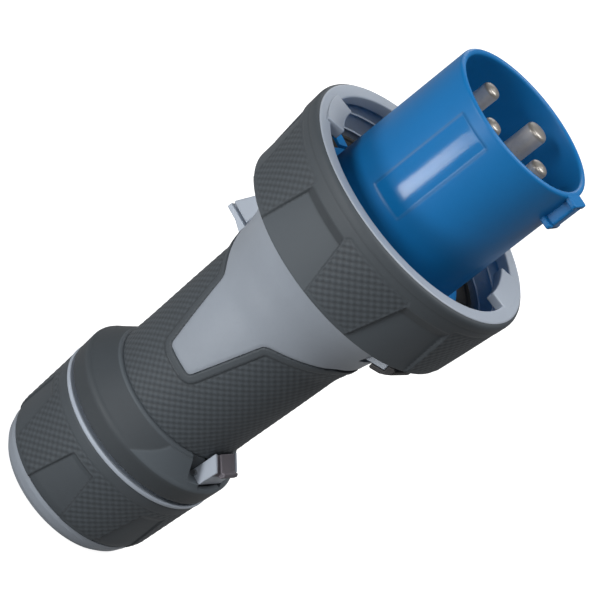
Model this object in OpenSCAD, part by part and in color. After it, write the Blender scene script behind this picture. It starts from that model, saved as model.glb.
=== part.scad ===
// Industrial pin and sleeve plug, 63 A size, four poles, sealed type.
// The plug stands on its gland nut: Z = 0 is the rear end and +Z points to the mouth.
// The key is near -Y (six o'clock), the earth pin at +X, the bare label recess near -X.

/* [Contact sleeve] */
// Outer diameter of the sleeve at its mouth, fixed by the current rating
sleeve_d = 71; // [70:0.5:72]
// Wall thickness of the sleeve
sleeve_wall = 2.8; // [2.4:0.1:3]
// Height of the mouth above the rear end of the gland nut
plug_len = 262.3; // [258:0.1:266]
// Width of the key bar
key_w = 7; // [6:0.5:12]
// Length of the key bar along the sleeve
key_len = 15.4; // [12:0.2:18]
// Height of the key bar above the sleeve
key_h = 4.6; // [4:0.2:6]
// Turn of the key from six o'clock, in degrees
key_turn = 6; // [0:0.5:10]

/* [Contacts] */
// Diameter of the circle that the pins stand on
pin_circle_d = 37; // [36:0.5:38]
// Diameter of a line pin
line_pin_d = 8; // [7:0.5:8.5]
// Diameter of the earth pin
earth_pin_d = 10; // [9:0.5:10.5]
// How far the pin tips lie below the mouth
pin_setback = 3.3; // [2:0.1:5]
// Depth of the sleeve, from its mouth down to the face of the contact carrier
sleeve_depth = 57; // [54:0.5:60]

/* [Locking ring] */
// Height of the rear face of the ring
ring_z = 168.5; // [168:0.1:169]
// Length of the ring along the axis
ring_len = 39.5; // [38:0.5:41]
// Outer radius at the rear of the ring
ring_rear_r = 56.5; // [56:0.1:57]
// Outer radius near the front of the ring
ring_front_r = 59.1; // [58.6:0.1:59.6]
// Number of smooth finger recesses round the ring
ring_recesses = 6; // [4:1:8]
// Middle of the first bayonet lug, in degrees round the axis
lug_angle = 122.5; // [110:0.5:135]
// Angle that one bayonet lug spans
lug_span = 28; // [20:1:34]

/* [Grip] */
// Radius of the grip at its rear end
grip_r = 33; // [32.8:0.1:33.4]
// Height of the rear end of the grip cover
grip_z = 70.6; // [70:0.1:71]
// Thickness of the soft grip cover
grip_cover_t = 2; // [1.6:0.1:2.2]
// Width of the raised smooth border round each tongue
tongue_border = 3.8; // [3:0.1:5]

/* [Gland nut] */
// Length of the nut
nut_len = 47.5; // [46:0.5:48]
// Outer radius of the nut cover at its front edge
nut_front_r = 40.9; // [40.5:0.1:41]
// Diameter of the cable entry
entry_d = 40; // [34:1:44]
// Number of smooth finger recesses round the nut
nut_recesses = 6; // [4:1:8]

/* [Latches] */
// Width of the latch that holds the rear housing
housing_latch_w = 16; // [12:0.5:17]
// Width of the latch that holds the locking ring
ring_latch_w = 14; // [10:0.5:15]

/* [Fits] */
// Radial gap where one piece turns on another
turn_gap = 0.08; // [0.05:0.01:0.1]
// Gap round the latches
latch_gap = 0.4; // [0.3:0.05:0.5]
// Width of the seam between the soft covers and the hard shell
seam = 0.3; // [0.2:0.05:0.4]

/* [Hidden] */
$fn = 96;

light_grey = [0.56, 0.60, 0.64];
dark_grey = [0.25, 0.27, 0.30];
blue = [0.11, 0.38, 0.66];
black = [0.07, 0.07, 0.08];
nickel = [0.78, 0.77, 0.74];
eps = 0.01;

sleeve_r = sleeve_d / 2;
sleeve_in_r = sleeve_r - sleeve_wall;
carrier_face_z = plug_len - sleeve_depth;
pin_tip_z = plug_len - pin_setback;
pin_r = pin_circle_d / 2;
ring_front_z = ring_z + ring_len;

// Outline of the grip and the front shell: [radius, height] from rear to front.
shell_crease_z = 147.3;
shell_skin = [
    [grip_r, grip_z], [grip_r + 0.3, 84], [grip_r + 1.3, 108], [grip_r + 2.1, 131.5],
    [grip_r + 3.6, 138.6], [grip_r + 4.7, shell_crease_z]
];
shoulder_r = 46.4;
journal_r = 45;
flange_z = 172.7;
core_r = grip_r - grip_cover_t;
cavity_r = 28;
socket_z = 56;

// Seats of the rear housing, the belt and the nut.
spigot_r = 34.5;
spigot_z = 14;
belt_z = 49.5;
belt_crest_z = 58.4;
belt_rear_r = 41.2;
belt_crest_r = 41.8;
belt_core_r = 39.6;
belt_core_front_r = 32.4;
seal_seat_r = 30;
seal_shelf_z = 36;
nut_bore_r = spigot_r + turn_gap;
nut_wall_z = 8;
nut_edge_z = 9;
nut_cover_front_z = 45.6;
nut_cover_t = 2;

// Points along an arc from angle a to angle b.
function arc(cx, cy, r, a, b, n) =
    [for (i = [0 : n]) [cx + r * cos(a + (b - a) * i / n), cy + r * sin(a + (b - a) * i / n)]];

// Turns a [radius, height] outline about the axis.
module turned(outline) {
    rotate_extrude() polygon(outline);
}

// Plain ring between two radii and two heights.
module tube(r_in, r_out, z0, z1) {
    turned([[r_in, z0], [r_out, z0], [r_out, z1], [r_in, z1]]);
}

// Extrudes a [y, z] outline along X, centred on the YZ plane.
module across(width, outline) {
    translate([-width / 2, 0, 0])
        rotate([90, 0, 90]) linear_extrude(width) polygon(outline);
}

// Copies the children to n places round the axis.
module round_axis(n, first = 0) {
    for (i = [0 : n - 1]) rotate(first + i * 360 / n) children();
}

/* Front housing, grip cover and tongues */

// Outline of one tongue and of the front edge of the grip cover, in [y, z].
// grow moves the whole line outwards.
tongue_z = 96;
tongue_rear_w = 16.6;
tongue_front_w = 34.8;
tongue_shoulder_z = 132;
cover_front_z = 142.6;
corner_r = 2.5;
function half_tongue(grow) = concat(
    arc(tongue_rear_w / 2 - corner_r, tongue_z + corner_r, corner_r + grow, 270, 345, 5),
    [[tongue_front_w / 2 - 0.6 + grow, tongue_shoulder_z - 1.6 - grow],
     [tongue_front_w / 2 + 1.4 + grow, tongue_shoulder_z + 0.2 - grow],
     [27.3, 136.6 - grow], [33.4, 140.2 - grow], [36.4, cover_front_z + 0.4 - grow],
     [60, cover_front_z + 6 - grow], [60, 200]]);
function mirrored(points) = [for (i = [len(points) - 1 : -1 : 0]) [-points[i][0], points[i][1]]];
function tongue_outline(grow) = concat(half_tongue(grow), mirrored(half_tongue(grow)));

// Everything in front of the grip cover, on both sides of the plug.
module tongue_space(grow) {
    across(200, tongue_outline(grow));
}

// Solid inside the outer skin, lowered by drop.
module skin_body(drop) {
    turned(concat([[0, grip_z]], [for (p = shell_skin) [p[0] - drop, p[1]]], [[0, shell_crease_z]]));
}

tab_w = 16;
tab_z = 137.2;
tab_foot_z = 131;
tab_t = 2.2;
tab_top_r = 48.3;
tab_slot = 1.4;
block_z = tab_z + tab_t + tab_slot;
block_front_z = 154;
block_seat_r = 37.2;

latch_pin_r = 1.2;
ring_hinge = [-36, 156];
ring_root_r = 2.4;
housing_hinge = [-33.5, 63];
housing_pin_len = housing_latch_w + 3.2;
housing_root_r = 2.2;

// Flared neck between the grip and the locking ring, with the journal that the ring turns on.
neck_outline = [
    [grip_r + 4.55, shell_crease_z], [39.2, 153.5], [41.2, 159.5], [43.4, 163.8],
    [shoulder_r - 0.5, 167.2], [shoulder_r, 168], [shoulder_r, ring_z - 0.3],
    [journal_r, ring_z - 0.3], [journal_r, flange_z]
];
neck_cavity = [
    [cavity_r, flange_z], [cavity_r, 168.7], [37.5, 168.7], [37.5, 164], [34.5, 157],
    [31, 150], [cavity_r, shell_crease_z]
];
module neck() {
    turned(concat(neck_outline, neck_cavity));
    // Block inside the shell that carries the hinge of the ring latch.
    intersection() {
        turned(concat([[0, shell_crease_z]], neck_outline, [[0, flange_z]]));
        across(ring_latch_w + 7, [[-29.5, 150], [-60, 150], [-60, 164], [-29.5, 164]]);
    }
}

module front_housing() {
    color(light_grey) difference() {
        union() {
            tube(cavity_r, core_r, socket_z, shell_crease_z);
            neck();
            intersection() {
                difference() {
                    skin_body(0.15);
                    cylinder(h = 200, r = core_r - 1);
                }
                tongue_space(-seam);
            }
            // Upright tab at twelve o'clock, with a fillet down to the neck.
            across(tab_w, concat(
                [[32, tab_foot_z], [36.4, tab_foot_z + 0.4]], arc(41.2, 133.2, 4, 180, 90, 6),
                [[tab_top_r - 0.8, tab_z], [tab_top_r, tab_z + 0.8], [tab_top_r, tab_z + tab_t],
                 [block_seat_r, tab_z + tab_t], [block_seat_r, block_front_z], [32, block_front_z]]));
            // Bosses that take the carrier screws.
            round_axis(2, 45) translate([carrier_screw_r, 0, 158])
                cylinder(h = flange_z - 158, r = 4);
        }
        // Seat of the block in front of the tab.
        across(tab_w, [[block_seat_r, block_z - tab_slot], [60, block_z - tab_slot],
                           [60, block_front_z], [block_seat_r, block_front_z]]);
        // Groove of the seal and pilot holes of the screws.
        tube(core_r - 1.6, core_r + 1, 58.5, 61.5);
        round_axis(2, 45) translate([carrier_screw_r, 0, 162]) cylinder(h = 20, r = carrier_screw_d / 2);
        // Pocket and pin hole of the ring latch.
        across(ring_latch_w + 2 * latch_gap, [
            [-33, ring_hinge[1] - ring_root_r - latch_gap], [-60, ring_hinge[1] - ring_root_r - latch_gap],
            [-60, 168.2], [-44.6, 163], [-39, ring_hinge[1] + 4.6], [-33, ring_hinge[1] + 3]]);
        hinge_bar(ring_hinge, ring_latch_w + 5, latch_pin_r);
    }
}

// Round bar along X, used for the hinge pins and their bores.
module hinge_bar(at, length, r) {
    translate([-length / 2, at[0], at[1]]) rotate([0, 90, 0]) cylinder(h = length, r = r, $fn = 32);
}

// The soft cover: a low field for the fine pattern and a raised smooth border round each tongue.
field_drop = 0.7;
module grip_cover() {
    color(dark_grey) difference() {
        union() {
            skin_body(field_drop);
            intersection() {
                skin_body(0);
                tongue_space(tongue_border);
            }
            tube(core_r, grip_r, grip_z, grip_z + 0.8);
        }
        translate([0, 0, -1]) cylinder(h = 220, r = core_r);
        tongue_space(0);
        // Room for the foot of the upright tab.
        across(tab_w + 2 * seam, [
            [core_r - 2, tab_foot_z - seam], [60, tab_foot_z - seam], [60, 160], [core_r - 2, 160]]);
    }
}

/* Rear housing, belt and seals */

chamfer_z = 70.2;
module rear_housing() {
    color(light_grey) difference() {
        turned([
            [seal_seat_r, spigot_z], [spigot_r - 1, spigot_z], [spigot_r, spigot_z + 1],
            [spigot_r, belt_z], [belt_core_r, belt_z], [belt_core_r, belt_crest_z + 0.4],
            [belt_core_front_r, chamfer_z - 0.8], [core_r, chamfer_z - 0.8], [core_r, socket_z],
            [seal_seat_r - 6, socket_z - 6], [seal_seat_r - 6, seal_shelf_z],
            [seal_seat_r, seal_shelf_z]]);
        belt_window(window_lining, belt_core_front_r);
        housing_latch_notch();
    }
}

belt_skin = [
    [belt_rear_r - 0.5, belt_z], [belt_rear_r, belt_z + 0.5], [belt_crest_r, belt_crest_z - 0.6],
    [belt_crest_r - 0.1, belt_crest_z + 0.5], [belt_crest_r - 1.1, belt_crest_z + 1.8],
    [grip_r + 0.5, chamfer_z]
];
module rear_belt() {
    color(dark_grey) difference() {
        union() {
            turned(concat([[belt_core_r, belt_z]], belt_skin, [
                [core_r, chamfer_z], [core_r, chamfer_z - 0.8],
                [belt_core_front_r, chamfer_z - 0.8], [belt_core_r, belt_crest_z + 0.4]]));
            // Lining of the window.
            intersection() {
                belt_window(window_lining, belt_core_front_r);
                turned(concat([[0, belt_z]], belt_skin, [[0, chamfer_z]]));
            }
        }
        belt_window(0, belt_core_front_r + window_floor_t);
        housing_latch_notch();
    }
}

// Wide window in the chamfer of the belt, which leaves room on both sides of the latch.
window_w = 30.2;
window_z = 61.8;
window_lining = 1;
window_floor_t = 0.7;
module belt_window(grow, floor_r) {
    difference() {
        across(window_w + 2 * grow, [
            [-20, window_z - grow], [-60, window_z - grow], [-60, 80], [-20, 80]]);
        cylinder(h = 300, r = floor_r);
    }
}

// Notch in the chamfer of the belt, with a round back that clears the latch as it turns.
housing_sweep_r = 5.7;
module housing_latch_notch() {
    sweep_r = housing_sweep_r + latch_gap;
    across(housing_latch_w + 2 * latch_gap, concat(
        [[-25, housing_hinge[1] - sweep_r]],
        arc(housing_hinge[0], housing_hinge[1], sweep_r, 270, 208, 6),
        [[-50, 61.4], [-50, 80], [-25, 80]]));
    hinge_bar(housing_hinge, housing_pin_len, latch_pin_r);
}

module housing_seal() {
    color(black) tube(core_r - 1.6, core_r, 58.5, 61.5);
}

seal_bore_r = 15.5;
module cable_seal() {
    color(black) difference() {
        turned([
            [seal_bore_r + 2, spigot_z - 0.3], [seal_seat_r - 3, spigot_z - 0.3],
            [seal_seat_r, spigot_z + 6],
            [seal_seat_r, seal_shelf_z], [seal_bore_r + 1, seal_shelf_z], [seal_bore_r, seal_shelf_z - 2],
            [seal_bore_r, spigot_z + 2]]);
        // Rings that let the bore close round the cable.
        for (z = [20, 25, 30]) tube(seal_bore_r - 1, seal_bore_r + 1.4, z, z + 1.6);
    }
}

/* Contact sleeve, carrier and contacts */

base_step_r = 43.5;
base_step_z = 188.6;
flange_r = 49.4;
flange_top_z = 184;
label_w = 17.2;
label_z = [209.5, 256];
label_turn = 4.4;
label_depth = 0.7;
module contact_sleeve() {
    lip = 0.9;
    color(blue) difference() {
        union() {
            turned(concat(
                [[sleeve_in_r, flange_z], [flange_r, flange_z], [flange_r, flange_top_z],
                 [base_step_r, flange_top_z], [base_step_r, base_step_z - 1],
                 [base_step_r - 1, base_step_z]],
                arc(sleeve_r + 2, base_step_z + 2, 2, 270, 180, 5),
                arc(sleeve_r - lip, plug_len - lip, lip, 0, 90, 5),
                arc(sleeve_in_r + lip, plug_len - lip, lip, 90, 180, 5)));
            rotate(key_turn) key_bar();
            flange_blocks(0, flange_top_z - eps);
        }
        // Bare recess for a label.
        rotate(label_turn) difference() {
            translate([-sleeve_r - 5, -label_w / 2, label_z[0]])
                cube([10, label_w, label_z[1] - label_z[0]]);
            cylinder(h = 300, r = sleeve_r - label_depth);
        }
    }
}

// Key bar with wider ends.
module key_bar() {
    key_z = plug_len - key_len;
    end_h = 2.2;
    key_block(key_w, key_z, key_len - 0.2);
    for (z = [key_z, plug_len - 0.2 - end_h]) key_block(key_w + 3.6, z, end_h);
}

// Block on the sleeve with rounded outer edges.
module key_block(w, z, h) {
    r = 1.2;
    foot = 1.5 - sleeve_r;
    crown = -sleeve_r - key_h;
    translate([0, 0, z]) linear_extrude(h) polygon(concat(
        [[-w / 2, foot]], arc(-w / 2 + r, crown + r, r, 180, 270, 4),
        arc(w / 2 - r, crown + r, r, 270, 360, 4), [[w / 2, foot]]));
}

// Two small blocks on the flange, which stand in gaps of the seal.
block_r = [45, 48.8];
block_top_z = 188.6;
module flange_blocks(grow, z) {
    for (a = [82, 262]) rotate(a) translate([block_r[0] - grow, -3 - grow, z])
        cube([block_r[1] - block_r[0] + 8 * grow, 6 + 2 * grow, block_top_z - z + grow]);
}

module flange_seal() {
    color(black) difference() {
        turned([
            [base_step_r, flange_top_z], [flange_r, flange_top_z], [flange_r, flange_top_z + 4.2],
            [flange_r - 0.6, flange_top_z + 4.8], [flange_r - 1.6, flange_top_z + 4.2],
            [flange_r - 2, flange_top_z + 3], [base_step_r, flange_top_z + 3]]);
        flange_blocks(0.2, flange_top_z - 1);
    }
}

carrier_screw_r = 25.6;
carrier_screw_d = 3.8;
carrier_disc_t = 12;
barrel_r = 7.2;
barrel_z = 153;
head_r = 3.6;
head_t = 2.4;
boss_h = 1.6;
root_step = 0.3;
contact_angles = [0, 90, 180, 270];
module contact_carrier() {
    disc_z = carrier_face_z - carrier_disc_t;
    color(blue) difference() {
        union() {
            tube(sleeve_in_r - 3, sleeve_in_r, flange_z, disc_z);
            translate([0, 0, disc_z]) cylinder(h = carrier_disc_t, r = sleeve_in_r);
            for (a = contact_angles) rotate(a) translate([pin_r, 0, carrier_face_z])
                cylinder(h = boss_h, r = (a == 0 ? earth_pin_d : line_pin_d) / 2 + 2.2);
            // Insulating walls between the terminals.
            for (a = [45, 135]) rotate(a) translate([-20, -1, 157]) cube([40, 2, disc_z - 157 + eps]);
        }
        for (a = contact_angles) rotate(a) translate([pin_r, 0, 0])
            cylinder(h = 300, r = (a == 0 ? earth_pin_d : line_pin_d) / 2 + root_step);
        round_axis(2, 45) translate([carrier_screw_r, 0, 0]) {
            cylinder(h = 300, r = carrier_screw_d / 2);
            translate([0, 0, carrier_face_z - head_t - 0.6]) cylinder(h = 20, r = head_r + 0.2);
        }
    }
}

module carrier_screws() {
    head_z = carrier_face_z - head_t - 0.6;
    color(nickel) round_axis(2, 45) translate([carrier_screw_r, 0, 0]) difference() {
        union() {
            translate([0, 0, 163]) cylinder(h = head_z - 163 + eps, r = carrier_screw_d / 2);
            translate([0, 0, head_z]) cylinder(h = head_t, r = head_r);
        }
        for (a = [0, 90]) rotate(a) translate([-2, -0.5, head_z + 1]) cube([4, 1, 5]);
    }
}

// One turned contact: rounded pin, shoulder, and barrel with a blind bore for the wire.
module contact(d) {
    tip = 1.6;
    disc_z = carrier_face_z - carrier_disc_t;
    root_z = carrier_face_z + boss_h + 0.1;
    color(nickel) translate([pin_r, 0, 0]) difference() {
        rotate_extrude() polygon(concat(
            [[0, barrel_z], [barrel_r, barrel_z], [barrel_r, disc_z - 3], [barrel_r - 1, disc_z - 2],
             [barrel_r - 1, disc_z], [d / 2 + root_step, disc_z], [d / 2 + root_step, root_z],
             [d / 2, root_z + root_step], [d / 2, pin_tip_z - tip]],
            arc(d / 2 - tip, pin_tip_z - tip, tip, 15, 90, 5), [[0, pin_tip_z]]));
        translate([0, 0, barrel_z - 1]) cylinder(h = 19, r = 5);
        translate([0, 0, barrel_z + 8]) rotate([0, 90, 0]) cylinder(h = 10, r = 2.6);
    }
}

module pin_earth() { contact(earth_pin_d); }
module pin_line_1() { rotate(90) contact(line_pin_d); }
module pin_line_2() { rotate(180) contact(line_pin_d); }
module pin_line_3() { rotate(270) contact(line_pin_d); }

module terminal_screws() {
    color(nickel) for (a = contact_angles) rotate(a)
        translate([pin_r + 4.9, 0, barrel_z + 8]) rotate([0, 90, 0]) difference() {
            cylinder(h = 3.8, r = 2.6);
            translate([0, 0, 1.2]) cylinder(h = 5, r = 1.5, $fn = 6);
        }
}

/* Block in front of the upright tab */

module ring_stop_block() {
    color(light_grey) across(tab_w - 0.6, [
        [block_seat_r, block_z], [tab_top_r - 0.6, block_z], [tab_top_r - 0.2, block_z + 0.6],
        [44.1, block_z + 9.2], [41.5, block_front_z], [block_seat_r, block_front_z]]);
}

/* Cable gland: nut, cover, washer and clamp */

module gland_nut() {
    color(light_grey) turned([
        [entry_d / 2, 2], [entry_d / 2 + 2, 0], [31, 0], [33.3, 0.7], [35.6, 3.6], [37, 7.4],
        [37.1, nut_edge_z], [nut_front_r - nut_cover_t - 2.6, nut_edge_z],
        [nut_front_r - nut_cover_t - 0.4, nut_cover_front_z], [nut_front_r + 0.1, nut_cover_front_z],
        [nut_front_r + 0.3, nut_cover_front_z + 0.4], [nut_front_r + 0.3, nut_len - 0.4],
        [nut_front_r - 0.1, nut_len], [nut_bore_r + 0.8, nut_len], [nut_bore_r, nut_len - 0.8],
        [nut_bore_r, nut_wall_z], [entry_d / 2, nut_wall_z]]);
}

nut_recess_first = 17;
module gland_nut_cover() {
    inner_rear_r = nut_front_r - nut_cover_t - 2.6;
    inner_front_r = nut_front_r - nut_cover_t - 0.4;
    color(dark_grey) difference() {
        turned([
            [inner_rear_r, nut_edge_z], [37.1, nut_edge_z], [38.4, 10.6], [39.2, 13.4],
            [nut_front_r, nut_cover_front_z], [inner_front_r, nut_cover_front_z]]);
        finger_recesses(nut_recesses, nut_recess_first, 24.7, 12.4, [5, 36.5],
            [[34, 0], [36.5, nut_edge_z], [38.5, 13.4], [39.6, 34], [nut_front_r, 36.5], [60, 37]]);
    }
}

// Smooth trapezoid recesses, open to the rear; floor is the [radius, height] line of their floor.
module finger_recesses(n, first, rear_w, front_w, z, floor_line) {
    difference() {
        round_axis(n, first) rotate([90, 0, 90]) linear_extrude(70)
            polygon([[-rear_w / 2, z[0]], [rear_w / 2, z[0]], [front_w / 2, z[1]], [-front_w / 2, z[1]]]);
        turned(concat([[0, floor_line[0][1]]], floor_line, [[60, 300], [0, 300]]));
    }
}

module slip_washer() {
    color(nickel) tube(entry_d / 2 + 0.6, 33, nut_wall_z + 0.1, nut_wall_z + 1.3);
}

module clamp_cage() {
    color(black) difference() {
        turned([
            [seal_bore_r + 3.5, 9.3], [33.4, 9.3], [33.4, 11.6], [seal_seat_r - 3.4, 13.4],
            [seal_bore_r + 3.5, 13.4]]);
        for (i = [0 : 11]) rotate(i * 30) translate([seal_bore_r, -0.6, 10.6]) cube([9, 1.2, 5]);
    }
}

/* Locking ring */

ring_wall_in_r = 52.6;
rim_in_r = 51.5;
rim_t = 5;
rear_wall_t = 3.8;
ring_core_rear_r = ring_rear_r - 2;
ring_core_front_r = ring_front_r - 2.4;
lug_in_r = 45;
lug_t = 4;
ramp_rise = 1.2;
lock_turn = 45;

module locking_ring() {
    color(light_grey) difference() {
        union() {
            turned([
                [journal_r + turn_gap, ring_z], [ring_core_rear_r - 1.5, ring_z],
                [ring_core_rear_r, ring_z + 1.5], [ring_core_front_r, ring_front_z - 2.4],
                [ring_core_front_r, ring_front_z - 0.5], [ring_core_front_r - 0.5, ring_front_z],
                [rim_in_r + 0.6, ring_front_z], [rim_in_r, ring_front_z - 0.6],
                [rim_in_r, ring_front_z - rim_t], [ring_wall_in_r, ring_front_z - rim_t - 1.1],
                [ring_wall_in_r, ring_z + rear_wall_t], [journal_r + turn_gap, ring_z + rear_wall_t]]);
            round_axis(2, lug_angle) bayonet_lug();
        }
        // Notch in the rear face that the ring latch meets when the ring is locked.
        rotate(lock_turn) translate([-6, -50.6, ring_z - 1]) cube([12, 4.6, 2.6]);
    }
}

// One lug: a wedge that reaches in under the rim, with a ramp that rises along it.
module bayonet_lug() {
    difference() {
        intersection() {
            tube(lug_in_r, ring_core_front_r - 0.6, ring_front_z - lug_t, ring_front_z + ramp_rise);
            rotate(-lug_span / 2) linear_extrude(300)
                polygon(concat([[0, 0]],
                    [for (i = [0 : 4]) 70 * [cos(lug_span * i / 4), sin(lug_span * i / 4)]]));
        }
        // Sloping cut that leaves the ramp.
        translate([0, 0, ring_front_z + ramp_rise / 2]) rotate([atan(ramp_rise / 27), 0, 0])
            translate([0, -50, 0]) cube([80, 100, 20]);
    }
}

module locking_ring_cover() {
    color(dark_grey) difference() {
        turned([
            [ring_core_rear_r, ring_z + 1.5], [ring_core_rear_r - 1.2, ring_z + 0.3],
            [ring_rear_r - 2.2, ring_z + 0.3], [ring_rear_r - 0.7, ring_z + 1], [ring_rear_r, ring_z + 2.6],
            [ring_front_r, ring_front_z - 2.6], [ring_front_r - 0.3, ring_front_z - 1.4],
            [ring_front_r - 1.3, ring_front_z - 0.6], [ring_core_front_r, ring_front_z - 0.5],
            [ring_core_front_r, ring_front_z - 2.4]]);
        finger_recesses(ring_recesses, 0, 45.4, 24.2, [150, 197.5],
            [[50, 150], [ring_rear_r - 1.5, 169], [ring_front_r - 2.6, 192.5], [ring_front_r - 0.6, 197.5],
             [80, 197.6]]);
    }
}

/* Latches */

// Rear latch: a wedge that lies in the notch of the belt, with a soft pad let into its front.
latch_cheek = 1.2;
module housing_latch() {
    color(light_grey) difference() {
        union() {
            across(housing_latch_w, [
                [-38.7, 61], [-39.5, 71.7], [-31.8, 76], [-31.8, 64], [-34.5, 60.9]]);
            translate([-housing_latch_w / 2, housing_hinge[0], housing_hinge[1]]) rotate([0, 90, 0])
                cylinder(h = housing_latch_w, r = housing_root_r);
        }
        // Pocket of the pad, between two thin cheeks.
        across(housing_latch_w - 2 * latch_cheek, [
            [-31, 74.6], [-38.1, 70.65], [-38.1, 68.4], [-60, 68.4], [-60, 90], [-31, 90]]);
        hinge_bar(housing_hinge, housing_latch_w + 2, latch_pin_r + turn_gap);
        // The underside follows the round grip.
        translate([0, 0, chamfer_z - 0.6]) cylinder(h = 20, r = grip_r + 0.7);
    }
}

module housing_latch_pad() {
    color(black) difference() {
        union() {
            across(housing_latch_w - 2 * latch_cheek, [
                [-31, 74.6], [-38.1, 70.65], [-38.1, 68.4], [-39.2, 68.4], [-39.4, 70.75], [-31.4, 75.25]]);
            across(10, [
                [-32.2, 74.9], [-39.2, 70.9], [-39.3, 69.8], [-40.5, 69.6], [-41.7, 70.6], [-42.1, 72.2],
                [-41.3, 73.3], [-39.8, 72.5], [-33.3, 76.2], [-32.5, 75.9]]);
        }
        translate([0, 0, chamfer_z]) cylinder(h = 20, r = grip_r + 0.7);
    }
}

module housing_latch_pin() {
    color(nickel) hinge_bar(housing_hinge, housing_pin_len, latch_pin_r);
}

// Front latch: a plate that leans forward to the ring, with a soft pad behind it.
module ring_latch() {
    color(light_grey) difference() {
        union() {
            across(ring_latch_w, [
                [-35.2, 153.8], [-38.5, 155.2], [-47.4, 160], [-47, 163], [-38.4, 158.7], [-35.6, 158.2]]);
            translate([-ring_latch_w / 2, ring_hinge[0], ring_hinge[1]]) rotate([0, 90, 0])
                cylinder(h = ring_latch_w, r = ring_root_r);
            // Nose that meets the notch of the ring.
            across(10, [
                [-44.6, 161.8], [-46.6, 161.4], [-46.9, 163.2], [-49, ring_z - 0.4], [-47, ring_z - 0.4]]);
        }
        hinge_bar(ring_hinge, ring_latch_w + 2, latch_pin_r + turn_gap);
    }
}

module ring_latch_pad() {
    color(black) across(ring_latch_w, [
        [-41.9, 157], [-42.2, 155], [-43.2, 155], [-47.2, 157.3], [-49.2, 159.3], [-51, 161.6],
        [-51.2, 164.2], [-49.6, 164.4], [-47.9, 163.2], [-47, 163], [-47.4, 160]]);
}

module ring_latch_pin() {
    color(nickel) hinge_bar(ring_hinge, ring_latch_w + 5, latch_pin_r);
}

front_housing();
grip_cover();
rear_housing();
rear_belt();
housing_seal();
contact_sleeve();
flange_seal();
contact_carrier();
carrier_screws();
pin_earth();
pin_line_1();
pin_line_2();
pin_line_3();
terminal_screws();
ring_stop_block();
cable_seal();
clamp_cage();
slip_washer();
gland_nut();
gland_nut_cover();
locking_ring();
locking_ring_cover();
housing_latch();
housing_latch_pad();
housing_latch_pin();
ring_latch();
ring_latch_pad();
ring_latch_pin();
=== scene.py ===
"""Industrial pin and sleeve plug: the visible pieces, their finishes and a small studio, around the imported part.

Geometry is worked out in millimetres and written to the meshes in metres.
"""

import math

import bpy
import numpy as np
from bpy.props import FloatProperty, FloatVectorProperty, PointerProperty
from mathutils import Matrix, Vector


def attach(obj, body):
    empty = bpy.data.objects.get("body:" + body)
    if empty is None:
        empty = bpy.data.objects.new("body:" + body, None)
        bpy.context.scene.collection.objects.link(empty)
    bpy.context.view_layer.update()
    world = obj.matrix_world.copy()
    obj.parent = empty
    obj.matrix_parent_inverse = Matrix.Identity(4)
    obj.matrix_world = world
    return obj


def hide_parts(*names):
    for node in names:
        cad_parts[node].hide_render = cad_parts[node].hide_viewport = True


bl_info = {
    "name": "Pin and Sleeve Plug",
    "version": (1, 0, 0),
    "blender": (4, 5, 0),
    "location": "View3D > Sidebar > Plug",
    "description": "Builds the shells, covers, contacts and latches of an industrial plug around its packed solids",
    "category": "Object",
}

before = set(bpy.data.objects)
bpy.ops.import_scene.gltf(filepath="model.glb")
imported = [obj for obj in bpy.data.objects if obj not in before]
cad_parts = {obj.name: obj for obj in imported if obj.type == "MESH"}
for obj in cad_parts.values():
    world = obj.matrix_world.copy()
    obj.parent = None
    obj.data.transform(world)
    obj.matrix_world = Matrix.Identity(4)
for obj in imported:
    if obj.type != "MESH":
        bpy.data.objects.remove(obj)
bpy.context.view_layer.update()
MM = 0.001


# ---------------------------------------------------------------- outlines and grids


def filleted(corners, radii, steps=5):
    """Closed outline with round corners. Each corner gives way to the arc of its radius that touches both sides:
    the arc's centre lies on the bisector at radius / sin(half the corner's angle)."""
    p = np.asarray(corners, float)
    r = np.broadcast_to(np.asarray(radii, float), len(p))[:, None]
    a, b = np.roll(p, 1, 0) - p, np.roll(p, -1, 0) - p
    a /= np.linalg.norm(a, axis=1, keepdims=True)
    b /= np.linalg.norm(b, axis=1, keepdims=True)
    half = np.arccos(np.clip((a * b).sum(1), -0.9999, 0.9999))[:, None] / 2
    middle = a + b
    middle /= np.maximum(np.linalg.norm(middle, axis=1, keepdims=True), 1e-9)
    centre = p + middle * r / np.sin(half)
    first, last = p + a * r / np.tan(half) - centre, p + b * r / np.tan(half) - centre
    sweep = np.pi - 2 * half
    s = np.linspace(0, 1, steps + 1)[None, :]
    w0, w1 = np.sin((1 - s) * sweep) / np.sin(sweep), np.sin(s * sweep) / np.sin(sweep)
    arc = centre[:, None] + w0[..., None] * first[:, None] + w1[..., None] * last[:, None]
    return arc.reshape(-1, 2)


def arc(centre, radius, start, end, count):
    """Points on a circle, from one angle to another in degrees."""
    t = np.radians(np.linspace(start, end, count))
    return np.stack([centre[0] + radius * np.cos(t), centre[1] + radius * np.sin(t)], 1)


def around(count):
    """Evenly spaced angles of a whole turn, as a column."""
    return np.linspace(0, 2 * np.pi, count, endpoint=False)[:, None]


def grid(angles, heights):
    """Angle and height of each point of the grid of a column of angles and a row of heights."""
    return angles + 0 * heights, heights + 0 * angles


def along(line, heights, soft=0.0):
    """Radius of a [radius, height] line at the given heights. With soft, the mean over a window of that half
    width, which rounds the line's corners."""
    line = np.asarray(line, float)
    shifts = np.linspace(-soft, soft, 9) if soft else np.zeros(1)
    at = np.asarray(heights, float)[..., None] + shifts
    return np.interp(at, line[:, 1], line[:, 0]).mean(-1)


def step_up(x, start, end):
    """Smooth step: 0 before start, 1 after end, 3t^2 - 2t^3 between."""
    t = np.clip((x - start) / (end - start), 0, 1)
    return t * t * (3 - 2 * t)


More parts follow.
